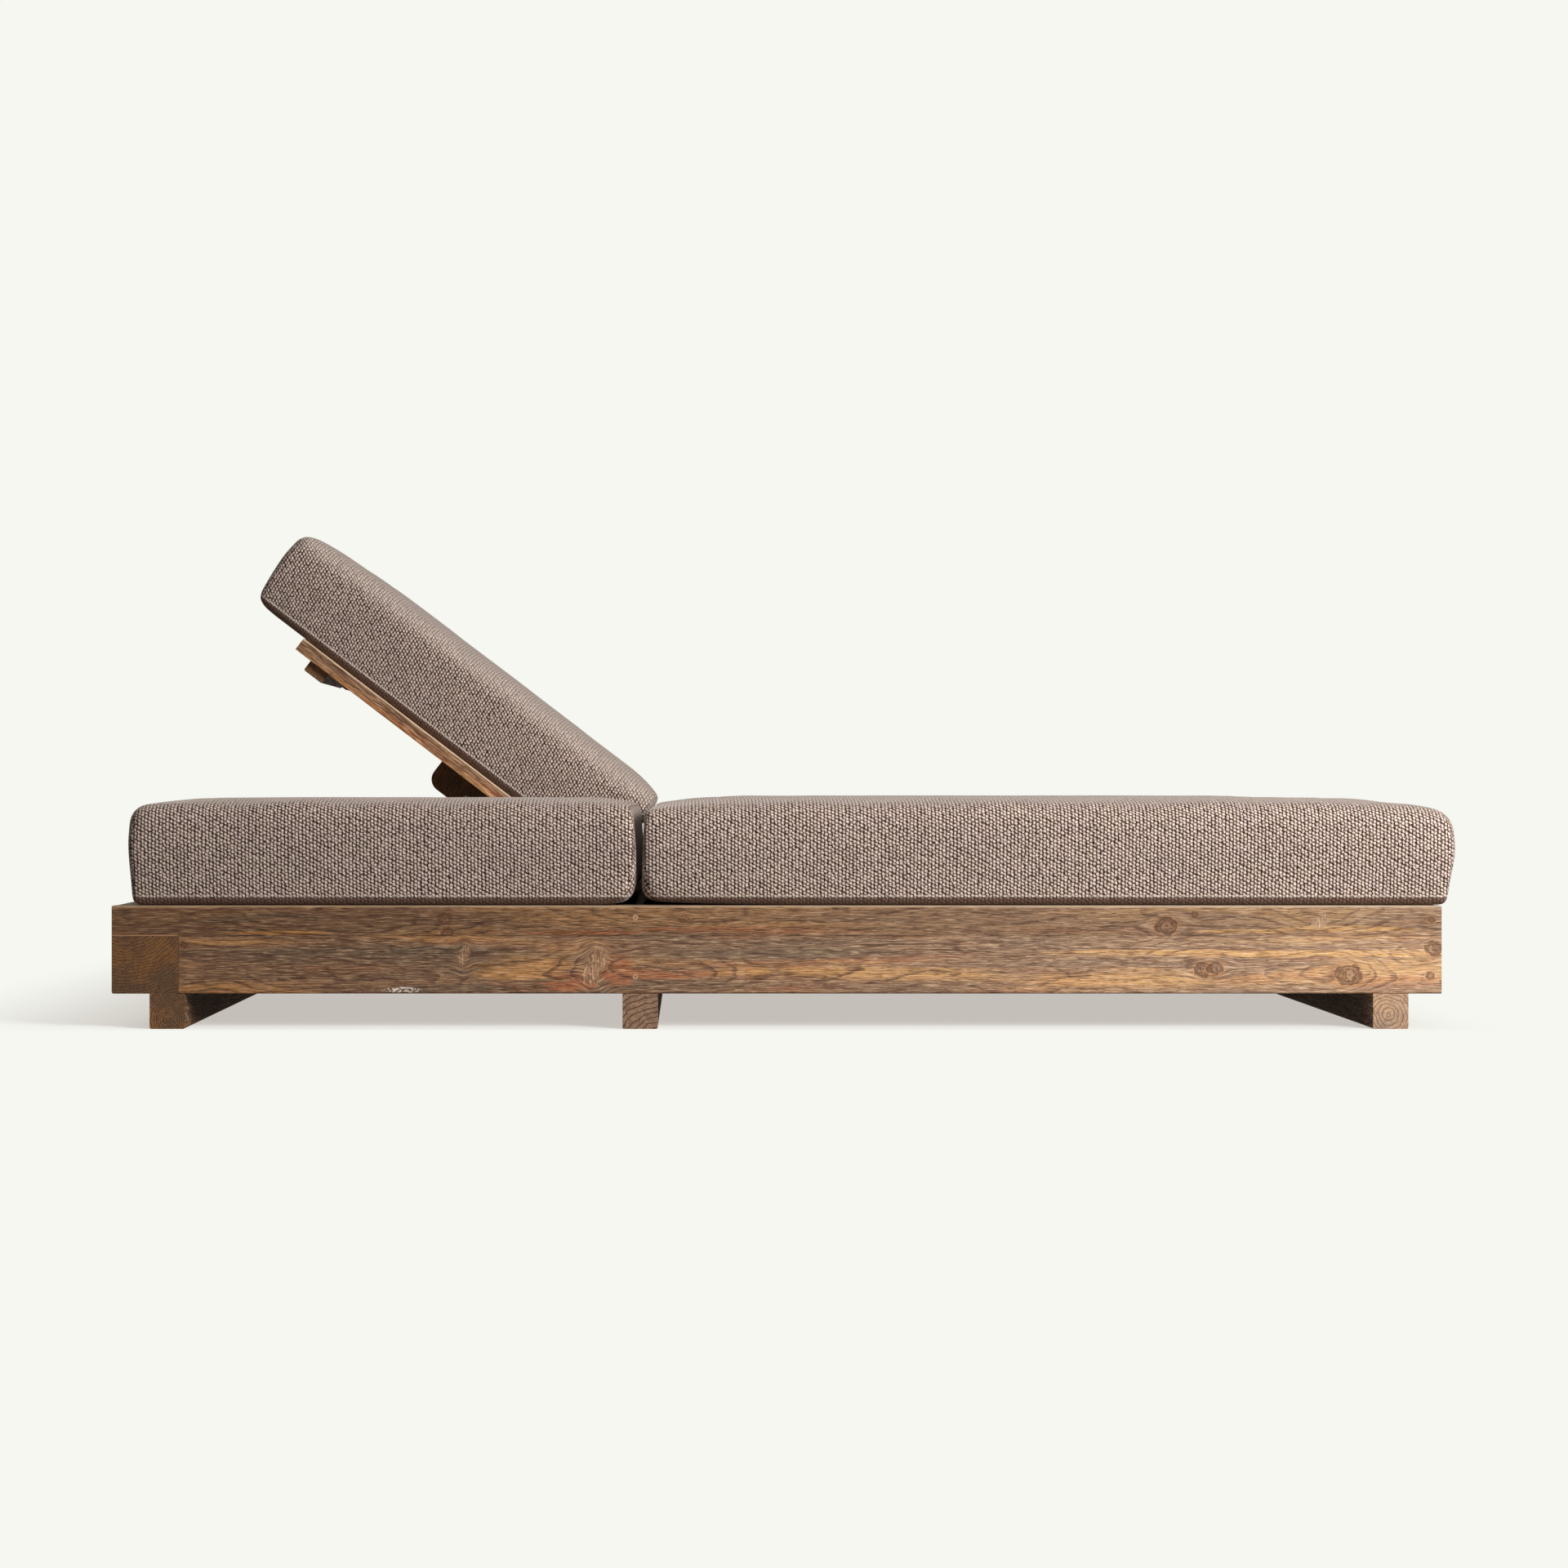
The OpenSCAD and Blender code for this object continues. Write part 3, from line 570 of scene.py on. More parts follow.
        colour = streak.step(0.34, 0.66).tint(DULL_WOOD, CLEAN_WOOD)
        colour = colour.stain(GOLD, band.step(0.50, 0.62) * self.gold)
        colour = colour.stain(RUST, rust.step(0.52, 0.70) * (0.8 * self.gold))
        colour = colour.stain(SMOKE, band.step(0.47, 0.36) * 0.55)
        for patch in self.streaks:
            colour = colour.stain(patch.colour, patch.share(face, streak))
        colour = colour.stain(LATE_WOOD, late * self.ring_depth)
        on_side = end_face.span(1.0, 0.35)
        for noise, low, high, tone, share in (
            (line, 0.48, 0.36, paint(92, 64, 47), 0.42), (line, 0.54, 0.66, paint(200, 166, 132), 0.36),
            (fibre, 0.50, 0.37, paint(78, 53, 39), 0.62), (fibre, 0.53, 0.66, paint(222, 190, 156), 0.52),
            (pore, 0.0, 1.0, BARK, 0.70),
        ):
            colour = colour.stain(tone, noise.step(low, high) * (on_side * share))
        check = CHECKS.read(run * 0.0, first * 0.3, up).step(0.66, 0.72)
        colour = colour.stain(CRACK, check * end_face * 0.65)
        height = line.span(0.0, 0.5) + fibre.span(0.0, 0.6) + late * -0.3 + pore * -0.4

        for feather in self.feathers:
            colour = feather.draw(face, colour)
        for knot in self.knots:
            colour, height = knot.draw(face, colour, height)
        colour = self.shade_and_bleach(graph, along, self.mark_edges(face, ripple, fibre, colour))
        return graph.surface(colour, line.span(0.9, 0.55), height.relief(0.0011, 0.8),
                             Specular_IOR_Level=self.gloss)

    def mark_edges(self, face: Face, ripple: Value, fibre: Value, colour: Value) -> Value:
        """Paints a highlight along the upper edge, marks the glued joints and leaves a fleck of old paint.

        Args:
            face: The board's face.
            ripple: Slow noise.
            fibre: Fine noise.
            colour: The board's colour.

        Returns:
            The colour with these in it.
        """
        along, up = face.along, face.up
        # Painted highlight: a pale line along the upper edge, where a rounded edge would catch the light.
        if self.edge_z:
            edge_lit = (up + ripple.sway(0.0012)).step(self.edge_z - 0.0034, self.edge_z - 0.001)
            colour = colour.stain(PAINTED_EDGE_HIGHLIGHT, edge_lit * self.edge_highlight)
        if self.joint_z:
            off = abs(up - self.joint_z)
            patchy = along.join(0.0).noise(9.0).step(0.45, 0.6)
            colour = colour.stain(BARK, off.step(0.0014, 0.0005) * patchy.span(0.10, 0.75))
            glue = off.step(0.0016, 0.0009) * along.step(self.glue_x, self.glue_x - 0.005)
            colour = colour.stain(GLUE, glue * 0.75)
        if self.joint_x:
            colour = colour.stain(BARK, abs(along - self.joint_x).step(0.0016, 0.0006) * 0.6)
        if self.fleck:
            inside = Streak(*self.fleck, 0.034, 0.0045, BARK, 1.0).share(face, fibre)
            colour = colour.stain(OLD_PAINT, inside * along.join(up, 0.2).noise(230.0).step(0.46, 0.56))
        return colour

    def shade_and_bleach(self, graph: Graph, along: Value, colour: Value) -> Value:
        """Paints shade over the inner length, under the frame, and bleaches the wood towards the foot end.

        Args:
            graph: The material's node tree.
            along: Place along the fibres.
            colour: The board's colour.

        Returns:
            The weathered colour.
        """
        # Painted shade: the inner length, beneath the frame, is darkened where shade falls.
        if self.painted_shade_from:
            colour = colour.stain(UNDER_FRAME_SHADE, abs(along).step(self.painted_shade_from, self.painted_shade_from - 0.07) * 0.30)
        bleach = graph.place().parts()[0].step(-1.15, 1.05)
        colour = graph.read("Gamma", {0: colour, 1: bleach.span(1.30, 0.94)})
        value = bleach.span(0.80 * self.shade, 0.90 * self.shade)
        return graph.read("HueSaturation", {"Color": colour, "Value": value, "Saturation": self.warmth})


@dataclass(frozen=True)
class Plug:
    """Round wooden plugs with a pale rim, seen end on."""

    name: str = "teak_plug"
    centre_x: float = -0.2258
    heights: tuple[float, float] = (0.0785, 0.1675)
    radius: float = 0.0040

    def material(self) -> bpy.types.Material:
        """Builds the finish.

        Returns:
            The material.
        """
        graph = Graph(bpy.data.materials.new(self.name))
        x, _, z = graph.place().parts()
        lower, upper = (abs(z - height) for height in self.heights)
        rim = (x - self.centre_x).reach(lower.least(upper)).step(0.62 * self.radius, 0.85 * self.radius)
        fleck = graph.place().noise(900.0)
        colour = fleck.tint(paint(120, 84, 60), paint(176, 138, 106)).stain(GLUE, rim * 0.7)
        return graph.surface(colour, 0.8, fleck.relief(0.0004, 0.5), Specular_IOR_Level=0.3)


@dataclass(frozen=True)
class Steel:
    """Plain steel that has dulled outdoors."""

    name: str = "dull_steel"
    scratches: Point = (900.0, 120.0, 900.0)

    def material(self) -> bpy.types.Material:
        """Builds the finish.

        Returns:
            The material.
        """
        graph = Graph(bpy.data.materials.new(self.name))
        place = graph.place()
        cloud = place.noise(60.0, 3.0)
        scratch = graph.read("VectorMath", {0: place, 1: self.scratches}, operation="MULTIPLY").noise(1.0)
        colour = cloud.step(0.4, 0.7).tint(paint(176, 174, 168), paint(122, 112, 102))
        return graph.surface(colour, cloud.span(0.25, 0.6), scratch.relief(0.0002, 0.4), Metallic=1.0)


@dataclass(frozen=True)
class EndForm:
    """How one end of a cushion is rounded, how far its middle stands out, and how its bottom is drawn in and up."""

    corner_r: Number
    top_r: Number
    bottom_r: Number
    crown_power: Number
    swell: Number = 0.0045
    power: Number = 2.0
    bulge: Number = 0.0
    taper: Number = 0.0065
    lift: Number = 0.0
    lift_l: Number = 0.09
    fall: Number = 0.0
    fall_l: Number = 0.07
    lean: Number = 0.0


@dataclass(frozen=True)
class CushionForm:
    """The form of one cushion, lying flat, with its bottom's middle at the centre."""

    name: str
    body: str
    length: float
    centre: Point
    head: EndForm
    foot: EndForm
    top_r: float
    crown: float
    turn: float = 0.0
    seed: float = 0.0
    width: float = 0.794
    thick: float = 0.1520
    bottom_r: float = 0.016
    corner_r: float = 0.020
    bulge: float = 0.0045
    taper: float = 0.0065
    draw: float = 0.003
    end_l: float = 0.07
    edge_l: float = 0.06
    round_l: float = 0.03
    uneven: float = 0.0008
    seam_z: float = 0.0115
    stitch: float = 0.35
    shoulder_highlight: float = 0.0
    # Tint of the turned-under strip: a darker bottom cloth, with painted shade in it too.
    strip: Colour = paint(84, 58, 44)

    def end_at(self, head: np.ndarray) -> EndForm:
        """The form of each point's end, from whether that is the head end."""
        return EndForm(*np.where(head[:, None], astuple(self.head), astuple(self.foot)).T)


@dataclass(frozen=True)
class WovenCover:
    """A coarse outdoor weave: slanted pale grains in offset columns, with painted shade in the gaps between them and a
    painted highlight on each grain.
    """

    form: CushionForm
    column: float = 0.0054
    row: float = 0.0056
    slant: tuple[float, float] = (0.62, 0.785)
    grain_size: tuple[float, float] = (0.66, 0.47)
    luck: float = 0.1
    jog: float = 0.0014
    lean: float = 0.006
    fray: float = 0.66
    stitch_l: float = 0.0048

    def panels(self, graph: Graph) -> tuple[Value, Value, Value, Value]:
        """Lays the cloth round the cushion: one piece over the top and both sides, one on each end, one below.

        Args:
            graph: The material's node tree.

        Returns:
            The places along and up the cloth, the height over the cushion's bottom, and the distance to an end's seam.
        """
        form = self.form
        place = graph.place()
        if form.turn:
            place = place.turned(HINGE, -form.turn)
        x, y, z = graph.read("VectorMath", {0: place, 1: form.centre}, operation="SUBTRACT").parts()
        half_l, half_w = form.length / 2 - form.bulge, form.width / 2 - form.bulge
        start_z, start_y = form.thick - form.top_r, half_w - form.top_r
        side = abs(y)
        arc = (z - start_z).most(0.0).calc("ARCTAN2", (side - start_y).most(0.00001)) * form.top_r
        wrap = z.least(start_z) + arc + (start_y - side).most(0.0)
        whole = start_z + form.top_r * math.pi / 2 + start_y
        wrap = y.calc("SIGN") * (whole - wrap)

        edge = abs(x) - half_l - (side - half_w).most(z - form.thick)
        on_end = edge.calc("GREATER_THAN", 0.0)
        below = z.calc("LESS_THAN", 0.002)
        across = below.choose(on_end.choose(x, y), x + 0.0021)
        upward = below.choose(on_end.choose(wrap, z), y + z)
        return across, upward, z, abs(edge)

    def weave(self, across: Value, upward: Value) -> tuple[Value, Value, Value]:
        """Weaves the cloth.

        Args:
            across: Place along the cloth.
            upward: Place up the cloth.

        Returns:
            The colour, the grains' height, and noise that frays them.
        """
        cloth, crossed = across.join(upward), upward.join(across)
        lean = cloth.noise(7.0, 1.0).sway(self.lean)
        jog = cloth.noise(165.0, 1.0).sway(self.jog)
        sway = crossed.noise(150.0, 1.0).sway(self.jog)
        columns = (across + jog) / self.column
        column = columns.calc("FLOOR")
        rows = (upward + sway + lean) / self.row + abs(column).calc("MODULO", 2.0) * 0.5
        row = rows.calc("FLOOR")
        luck, dice = column.join(row, 1.0).dice()
        luck_u, luck_v, _ = dice.parts()
        u = columns - column + luck_u.span(-0.5 - self.luck, -0.5 + self.luck)
        v = rows - row + luck_v.span(-0.5 - self.luck, -0.5 + self.luck)
        low, high = self.slant
        long_way = (u * low + v * -high) / self.grain_size[0]
        off = long_way.reach((u * high + v * low) / self.grain_size[1])
        frayed = cloth.noise(560.0, 1.0)
        raised = (off + frayed.sway(self.fray)).step(1.02, 0.52)
        # Painted highlight: a small pale spot on each grain.
        yarn_highlight = (off + crossed.noise(520.0, 1.0).sway(self.fray)).step(0.66, 0.05)

        yarn = luck.tint(DULL_YARN, PALE_YARN)
        yarn = yarn.stain(STRAW_YARN, cloth.noise(26.0, 1.0).step(0.45, 0.62) * 0.35)
        # Painted shade fills the gaps between the grains.
        return raised.tint(WEAVE_GAP_SHADE, yarn).stain(PAINTED_YARN_HIGHLIGHT, yarn_highlight * 0.80), raised, frayed

    def material(self) -> bpy.types.Material:
        """Builds the finish: the weave, with its seams, stitches, a darker lower strip that is partly painted shade,
        and a painted highlight on the upper shoulder.

        Returns:
            The material.
        """
        form = self.form
        graph = Graph(bpy.data.materials.new(form.name + "_weave"))
        across, upward, z, edge = self.panels(graph)
        colour, raised, frayed = self.weave(across, upward)
        at = form.seam_z
        seam = z.step(at - 0.0016, at - 0.0004) * z.step(at + 0.0010, at)
        band = z.step(at + 0.0006, at + 0.0012) * z.step(at + 0.0046, at + 0.0038)
        stitch = band * (across / self.stitch_l).calc("FRACT").step(0.25, 0.4)
        colour = colour.stain(SEAM, seam * 0.8)
        colour = colour.stain(SEAM, edge.step(0.0016, 0.0006) * frayed.span(0.2, 1.0) * 0.7)
        colour = colour.stain(THREAD, stitch * form.stitch)
        # The strip below the seam is tinted darker: a darker bottom cloth, with painted shade on top of it.
        colour = colour.stain(form.strip, z.step(at, at - 0.002) * 0.86)
        # Painted highlight: the upper shoulder is paled where the rounded top edge catches the light.
        if form.shoulder_highlight:
            colour = colour.stain(PAINTED_SHOULDER_HIGHLIGHT, z.step(form.thick - form.top_r - 0.004, form.thick - 0.006) * form.shoulder_highlight)
        return graph.surface(colour, 0.92, (raised + seam * -0.8).relief(0.0010, 0.55), Sheen_Weight=0.45,
                             Sheen_Roughness=0.35, Sheen_Tint=SHEEN, Specular_IOR_Level=0.2)


def read_points(data: bpy.types.Mesh) -> np.ndarray:
    """A mesh's vertices, one a row."""
    points = np.empty(len(data.vertices) * 3, np.float32)
    data.vertices.foreach_get("co", points)
    return points.reshape(-1, 3)


def write_points(data: bpy.types.Mesh, points: np.ndarray) -> None:
    """Moves a mesh's vertices to new places, one a row."""
    data.vertices.foreach_set("co", points.astype(np.float32).ravel())
    data.update()


@dataclass
class Cushion:
    """One stuffed cushion: a fine block is moulded to its form, blown up a little and dressed."""

    form: CushionForm
    step: float = 0.0100
    cap: float = 0.003
    frames: int = 20
    quality: int = 4
    pressure: float = 4.0
    stretch: float = 25.0
    shear: float = 12.0
    bending: float = 4.0

    def grid(self) -> tuple[np.ndarray, np.ndarray]:
        """A block's surface in even squares.

        Returns:
            Its points, and its faces as four points each.
        """
        form = self.form
        sizes = (form.length, form.width, form.thick)
        counts = [max(4, round(size / self.step)) for size in sizes]
        shape = [count + 1 for count in counts]
        index = np.arange(np.prod(shape)).reshape(shape)
        faces = []
        for axis in range(3):
            for end, turned in ((0, True), (-1, False)):
                sheet = np.moveaxis(index, axis, 0)[end]
                corners = [sheet[:-1, :-1], sheet[1:, :-1], sheet[1:, 1:], sheet[:-1, 1:]]
                quad = np.stack(corners, -1).reshape(-1, 4)
                faces.append(quad[:, ::-1] if turned == (axis != 1) else quad)
        used, flat = np.unique(np.concatenate(faces), return_inverse=True)
        places = np.stack(np.unravel_index(used, shape), -1) / np.array(counts)
        points = places * np.array(sizes) - np.array([form.length / 2, form.width / 2, 0.0])
        return points, flat.reshape(-1, 4)

    def mould(self, block: np.ndarray) -> np.ndarray:
        """Moulds the block's points to the cushion's form.

        Args:
            block: Points on the plain block, one a row.

        Returns:
            The moulded points.
        """
        form, end = self.form, self.form.end_at(block[:, 0] < 0)
        half_w = form.width / 2 - form.bulge
        half_l = form.length / 2 - end.swell
        x, y, z = block[:, 0] * half_l * 2 / form.length, block[:, 1] * half_w * 2 / form.width, block[:, 2]
        near_end = np.clip(1 - (half_l - np.abs(x)) / form.end_l, 0, 1)

        def ranged(side: float, at_end: Number) -> np.ndarray:
            """A value that changes from the middle of the length to each end."""
            return side + (at_end - side) * near_end

        corner, top = ranged(form.corner_r, end.corner_r), ranged(form.top_r, end.top_r)
        low, power = ranged(form.bottom_r, end.bottom_r), ranged(2.0, end.power)
        near_low = np.clip((low + form.round_l - z) / form.round_l, 0, 1)
        near_top = np.clip((z - form.thick + top + form.round_l) / form.round_l, 0, 1)
        wide = corner + (low - corner) * near_low + (top - corner) * near_top
        inner_x = np.clip(x, -half_l + wide, half_l - wide)
        inner_y = np.clip(y, -half_w + wide, half_w - wide)
        inner_z = np.clip(z, low, form.thick - top)
        tall = np.where(z > inner_z, top, low)
        off = np.stack([(x - inner_x) / wide, (y - inner_y) / wide, (z - inner_z) / tall], -1)
        size = (np.abs(off) ** power[:, None]).sum(1) ** (1 / power)
        off /= np.maximum(size, 1e-9)[:, None]
        x, y, z = inner_x + off[:, 0] * wide, inner_y + off[:, 1] * wide, inner_z + off[:, 2] * tall

        height = np.clip(z / form.thick, 0, 1)
        in_x, in_y = half_l - np.abs(x), half_w - np.abs(y)
        share_x, share_y = np.clip(np.abs(x) / half_l, 0, 1), np.clip(np.abs(y) / half_w, 0, 1)
        round_side = np.sin(math.pi * height ** 1.5)
        drawn_in = np.clip(1 - height / 0.6, 0, 1) ** 1.4
        leaning = np.clip((height - 0.5) / 0.5, 0, 1) ** 1.5
        middle = np.sin(math.pi * height)
        swell = end.bulge * (1 - share_y ** 2.5) * middle
        sag = form.draw * (1 - share_x ** 3) * middle
        out_x = end.swell * round_side - end.taper * drawn_in - end.lean * leaning + swell
        out_y = form.bulge * round_side - form.taper * drawn_in - sag
        crown = form.crown * (1 - share_x ** end.crown_power) * (1 - share_y ** 5)
        crown *= np.clip((height - 0.3) / 0.7, 0, 1)
        drop = end.fall * np.clip(1 - in_x / end.fall_l, 0, None) ** 2 * height
        lift = end.lift * np.clip(1 - in_x / end.lift_l, 0, 1) ** 2
        waves = np.sin(x * 19.0 + y * 11.0 + form.seed) + np.sin(x * 41.0 - y * 27.0 + 2 * form.seed)
        return np.stack([
            x + np.sign(x) * out_x * np.clip(1 - in_x / form.edge_l, 0, 1),
            y + np.sign(y) * out_y * np.clip(1 - in_y / form.edge_l, 0, 1),
            z + crown - drop + lift * (1 - height) + form.uneven * waves * height,
        ], -1)

    def shell(self) -> bpy.types.Object:
        """Builds the closed form, flat, with its bottom's middle at the origin.

        Returns:
            The mesh object.
        """
        points, faces = self.grid()
        data = bpy.data.meshes.new(self.form.name + "_soft")
        data.from_pydata(self.mould(points).tolist(), [], faces.tolist())
        mesh = bmesh.new()
        mesh.from_mesh(data)
        bmesh.ops.recalc_face_normals(mesh, faces=mesh.faces)
        mesh.to_mesh(data)
        mesh.free()
        return put(self.form.name + "_soft", data)

    def inflate(self, piece: bpy.types.Object) -> None:
        """Blows the cover up with air pressure and keeps each point within the cap of where it was.

        Args:
            piece: The moulded cushion.
        """
        start = read_points(piece.data)
        cloth = piece.modifiers.new("pressure", "CLOTH")
        settings = cloth.settings
        settings.quality = self.quality
        settings.use_pressure = True
        settings.uniform_pressure_force = self.pressure
        settings.tension_stiffness = settings.compression_stiffness = self.stretch
        settings.shear_stiffness = self.shear
        settings.bending_stiffness = self.bending
        settings.effector_weights.gravity = 0.0
        cloth.point_cache.frame_start, cloth.point_cache.frame_end = 1, self.frames
        scene = bpy.context.scene
        for number in range(1, self.frames + 1):
            scene.frame_set(number)
        blown = piece.evaluated_get(bpy.context.evaluated_depsgraph_get())
        move = read_points(blown.data) - start
        size = np.linalg.norm(move, axis=1, keepdims=True)
        move *= np.minimum(1.0, self.cap / np.maximum(size, 1e-9))
        piece.modifiers.clear()
        scene.frame_set(1)
        write_points(piece.data, start + move)
        log.info("%s: mean movement %.1f mm", piece.name, float(size.mean()) * 1000)

    def trim(self, piece: bpy.types.Object) -> None:
        """Keeps the blown cushion, still flat, in the space that its solid holds and flat where it rests."""
        form = self.form
        low = (-form.length / 2 - 0.001, -form.width / 2, 0.0003)
        high = (form.length / 2 + 0.001, form.width / 2, form.thick + form.crown + 0.001)
        write_points(piece.data, np.clip(read_points(piece.data), low, high))

    def smooth(self, piece: bpy.types.Object) -> None:
        """Rounds the cushion's squares off once, for good."""
        rounded = piece.modifiers.new("round", "SUBSURF")
        rounded.levels = rounded.render_levels = 1
        graph = bpy.context.evaluated_depsgraph_get()
        data = bpy.data.meshes.new_from_object(piece.evaluated_get(graph))
        piece.modifiers.clear()
        old, piece.data = piece.data, data
        bpy.data.meshes.remove(old)

    def placed(self, points: np.ndarray) -> np.ndarray:
        """The flat cushion's points where the cushion lies, turned up with its back if it is the raised one.

        Args:
            points: The flat points, one a row.

        Returns:
            The points in the row frame.
        """
        points = points + np.array(self.form.centre)
        if self.form.turn:
            angle = math.radians(self.form.turn)
            away = points - np.array(HINGE)
            x = away[:, 0] * math.cos(angle) + away[:, 2] * math.sin(angle)
            z = -away[:, 0] * math.sin(angle) + away[:, 2] * math.cos(angle)
            points = np.stack([x, away[:, 1], z], -1) + np.array(HINGE)
        return points

    def build(self, finish: bpy.types.Material, twin: np.ndarray | None = None) -> np.ndarray:
        """Args:
            finish: Its material.
            twin: The flat points of a cushion of the same form, if there is one already.

        Returns:
            Its flat points.
        """
        form = self.form
        piece = self.shell()
        if twin is not None:
            write_points(piece.data, twin * (1, -1, 1))
            piece.data.flip_normals()
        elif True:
            self.inflate(piece)
        self.trim(piece)
        flat = read_points(piece.data).astype(float)
        self.smooth(piece)
        write_points(piece.data, self.placed(read_points(piece.data).astype(float)))
        dress(piece, finish)
        piece.data.polygons.foreach_set("use_smooth", np.ones(len(piece.data.polygons), bool))
        piece.data.update()
        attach(piece, form.body)
        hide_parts(form.name)
        log.info("%s: %d faces", piece.name, len(piece.data.polygons))
        return flat


@dataclass
class Cushions:
    """The four cushions."""

    gap: float = 0.0003
    seat_l: float = 1.2325
    back_l: float = 0.771
    raised_l: float = 0.789
    seat_x: float = 0.39875
    back_x: float = -0.609
    raised_x: float = -0.70215
    half: float = 0.4

    def forms(self) -> list[CushionForm]:
        """The four forms.

        Returns:
            The forms, the near half's first.
        """
        z = DECK + self.gap
        seat_head = EndForm(0.009, 0.013, 0.022, 2.8, -0.0018, bulge=0.0005, taper=0.0, lift=0.0070, lift_l=0.30,
                            fall=0.0065, fall_l=0.20, lean=0.0028)
        seat_foot = EndForm(0.020, 0.029, 0.009, 5.0, 0.0030, bulge=0.007, taper=0.0110, fall=0.011, fall_l=0.19)
        back_head = EndForm(0.014, 0.023, 0.009, 4.5, 0.0032, 1.8, bulge=0.005, taper=0.003)
        back_foot = EndForm(0.009, 0.018, 0.030, 6.0, -0.0018, bulge=0.0005, taper=0.0, lift=0.006, lean=0.0062)
        raised_head = EndForm(0.012, 0.020, 0.016, 2.6, 0.0040, 1.6, bulge=0.005, taper=0.002, lift=0.004)
        raised_foot = EndForm(0.014, 0.012, 0.022, 8.0, 0.0022, taper=0.001, lean=0.0025)
        return [
            CushionForm("near_seat_cushion", "base", self.seat_l, (self.seat_x, -self.half, z), seat_head,
                        seat_foot, 0.024, 0.0082, seed=0.4),
            CushionForm("near_back_cushion", "near_back_pad", self.back_l, (self.back_x, -self.half, z),
                        back_head, back_foot, 0.020, 0.0078, seed=1.7),
            CushionForm("far_seat_cushion", "base", self.seat_l, (self.seat_x, self.half, z), seat_head,
                        seat_foot, 0.024, 0.0082, seed=2.9),
            CushionForm("far_back_cushion", "far_back_pad", self.raised_l, (self.raised_x, self.half, z),
                        raised_head, raised_foot, 0.031, 0.0115, turn=RAISED, seed=4.1, seam_z=0.0125,
                        bottom_r=0.022, stitch=1.0, shoulder_highlight=0.30, strip=paint(104, 74, 57)),
        ]

    def build(self) -> None:
        """Builds and dresses all four; the two seat cushions are twins."""
        flat: dict[str, np.ndarray] = {}
        for form in self.forms():
            twin = flat.get("near_seat_cushion") if form.name == "far_seat_cushion" else None
            flat[form.name] = Cushion(form).build(WovenCover(form).material(), twin)


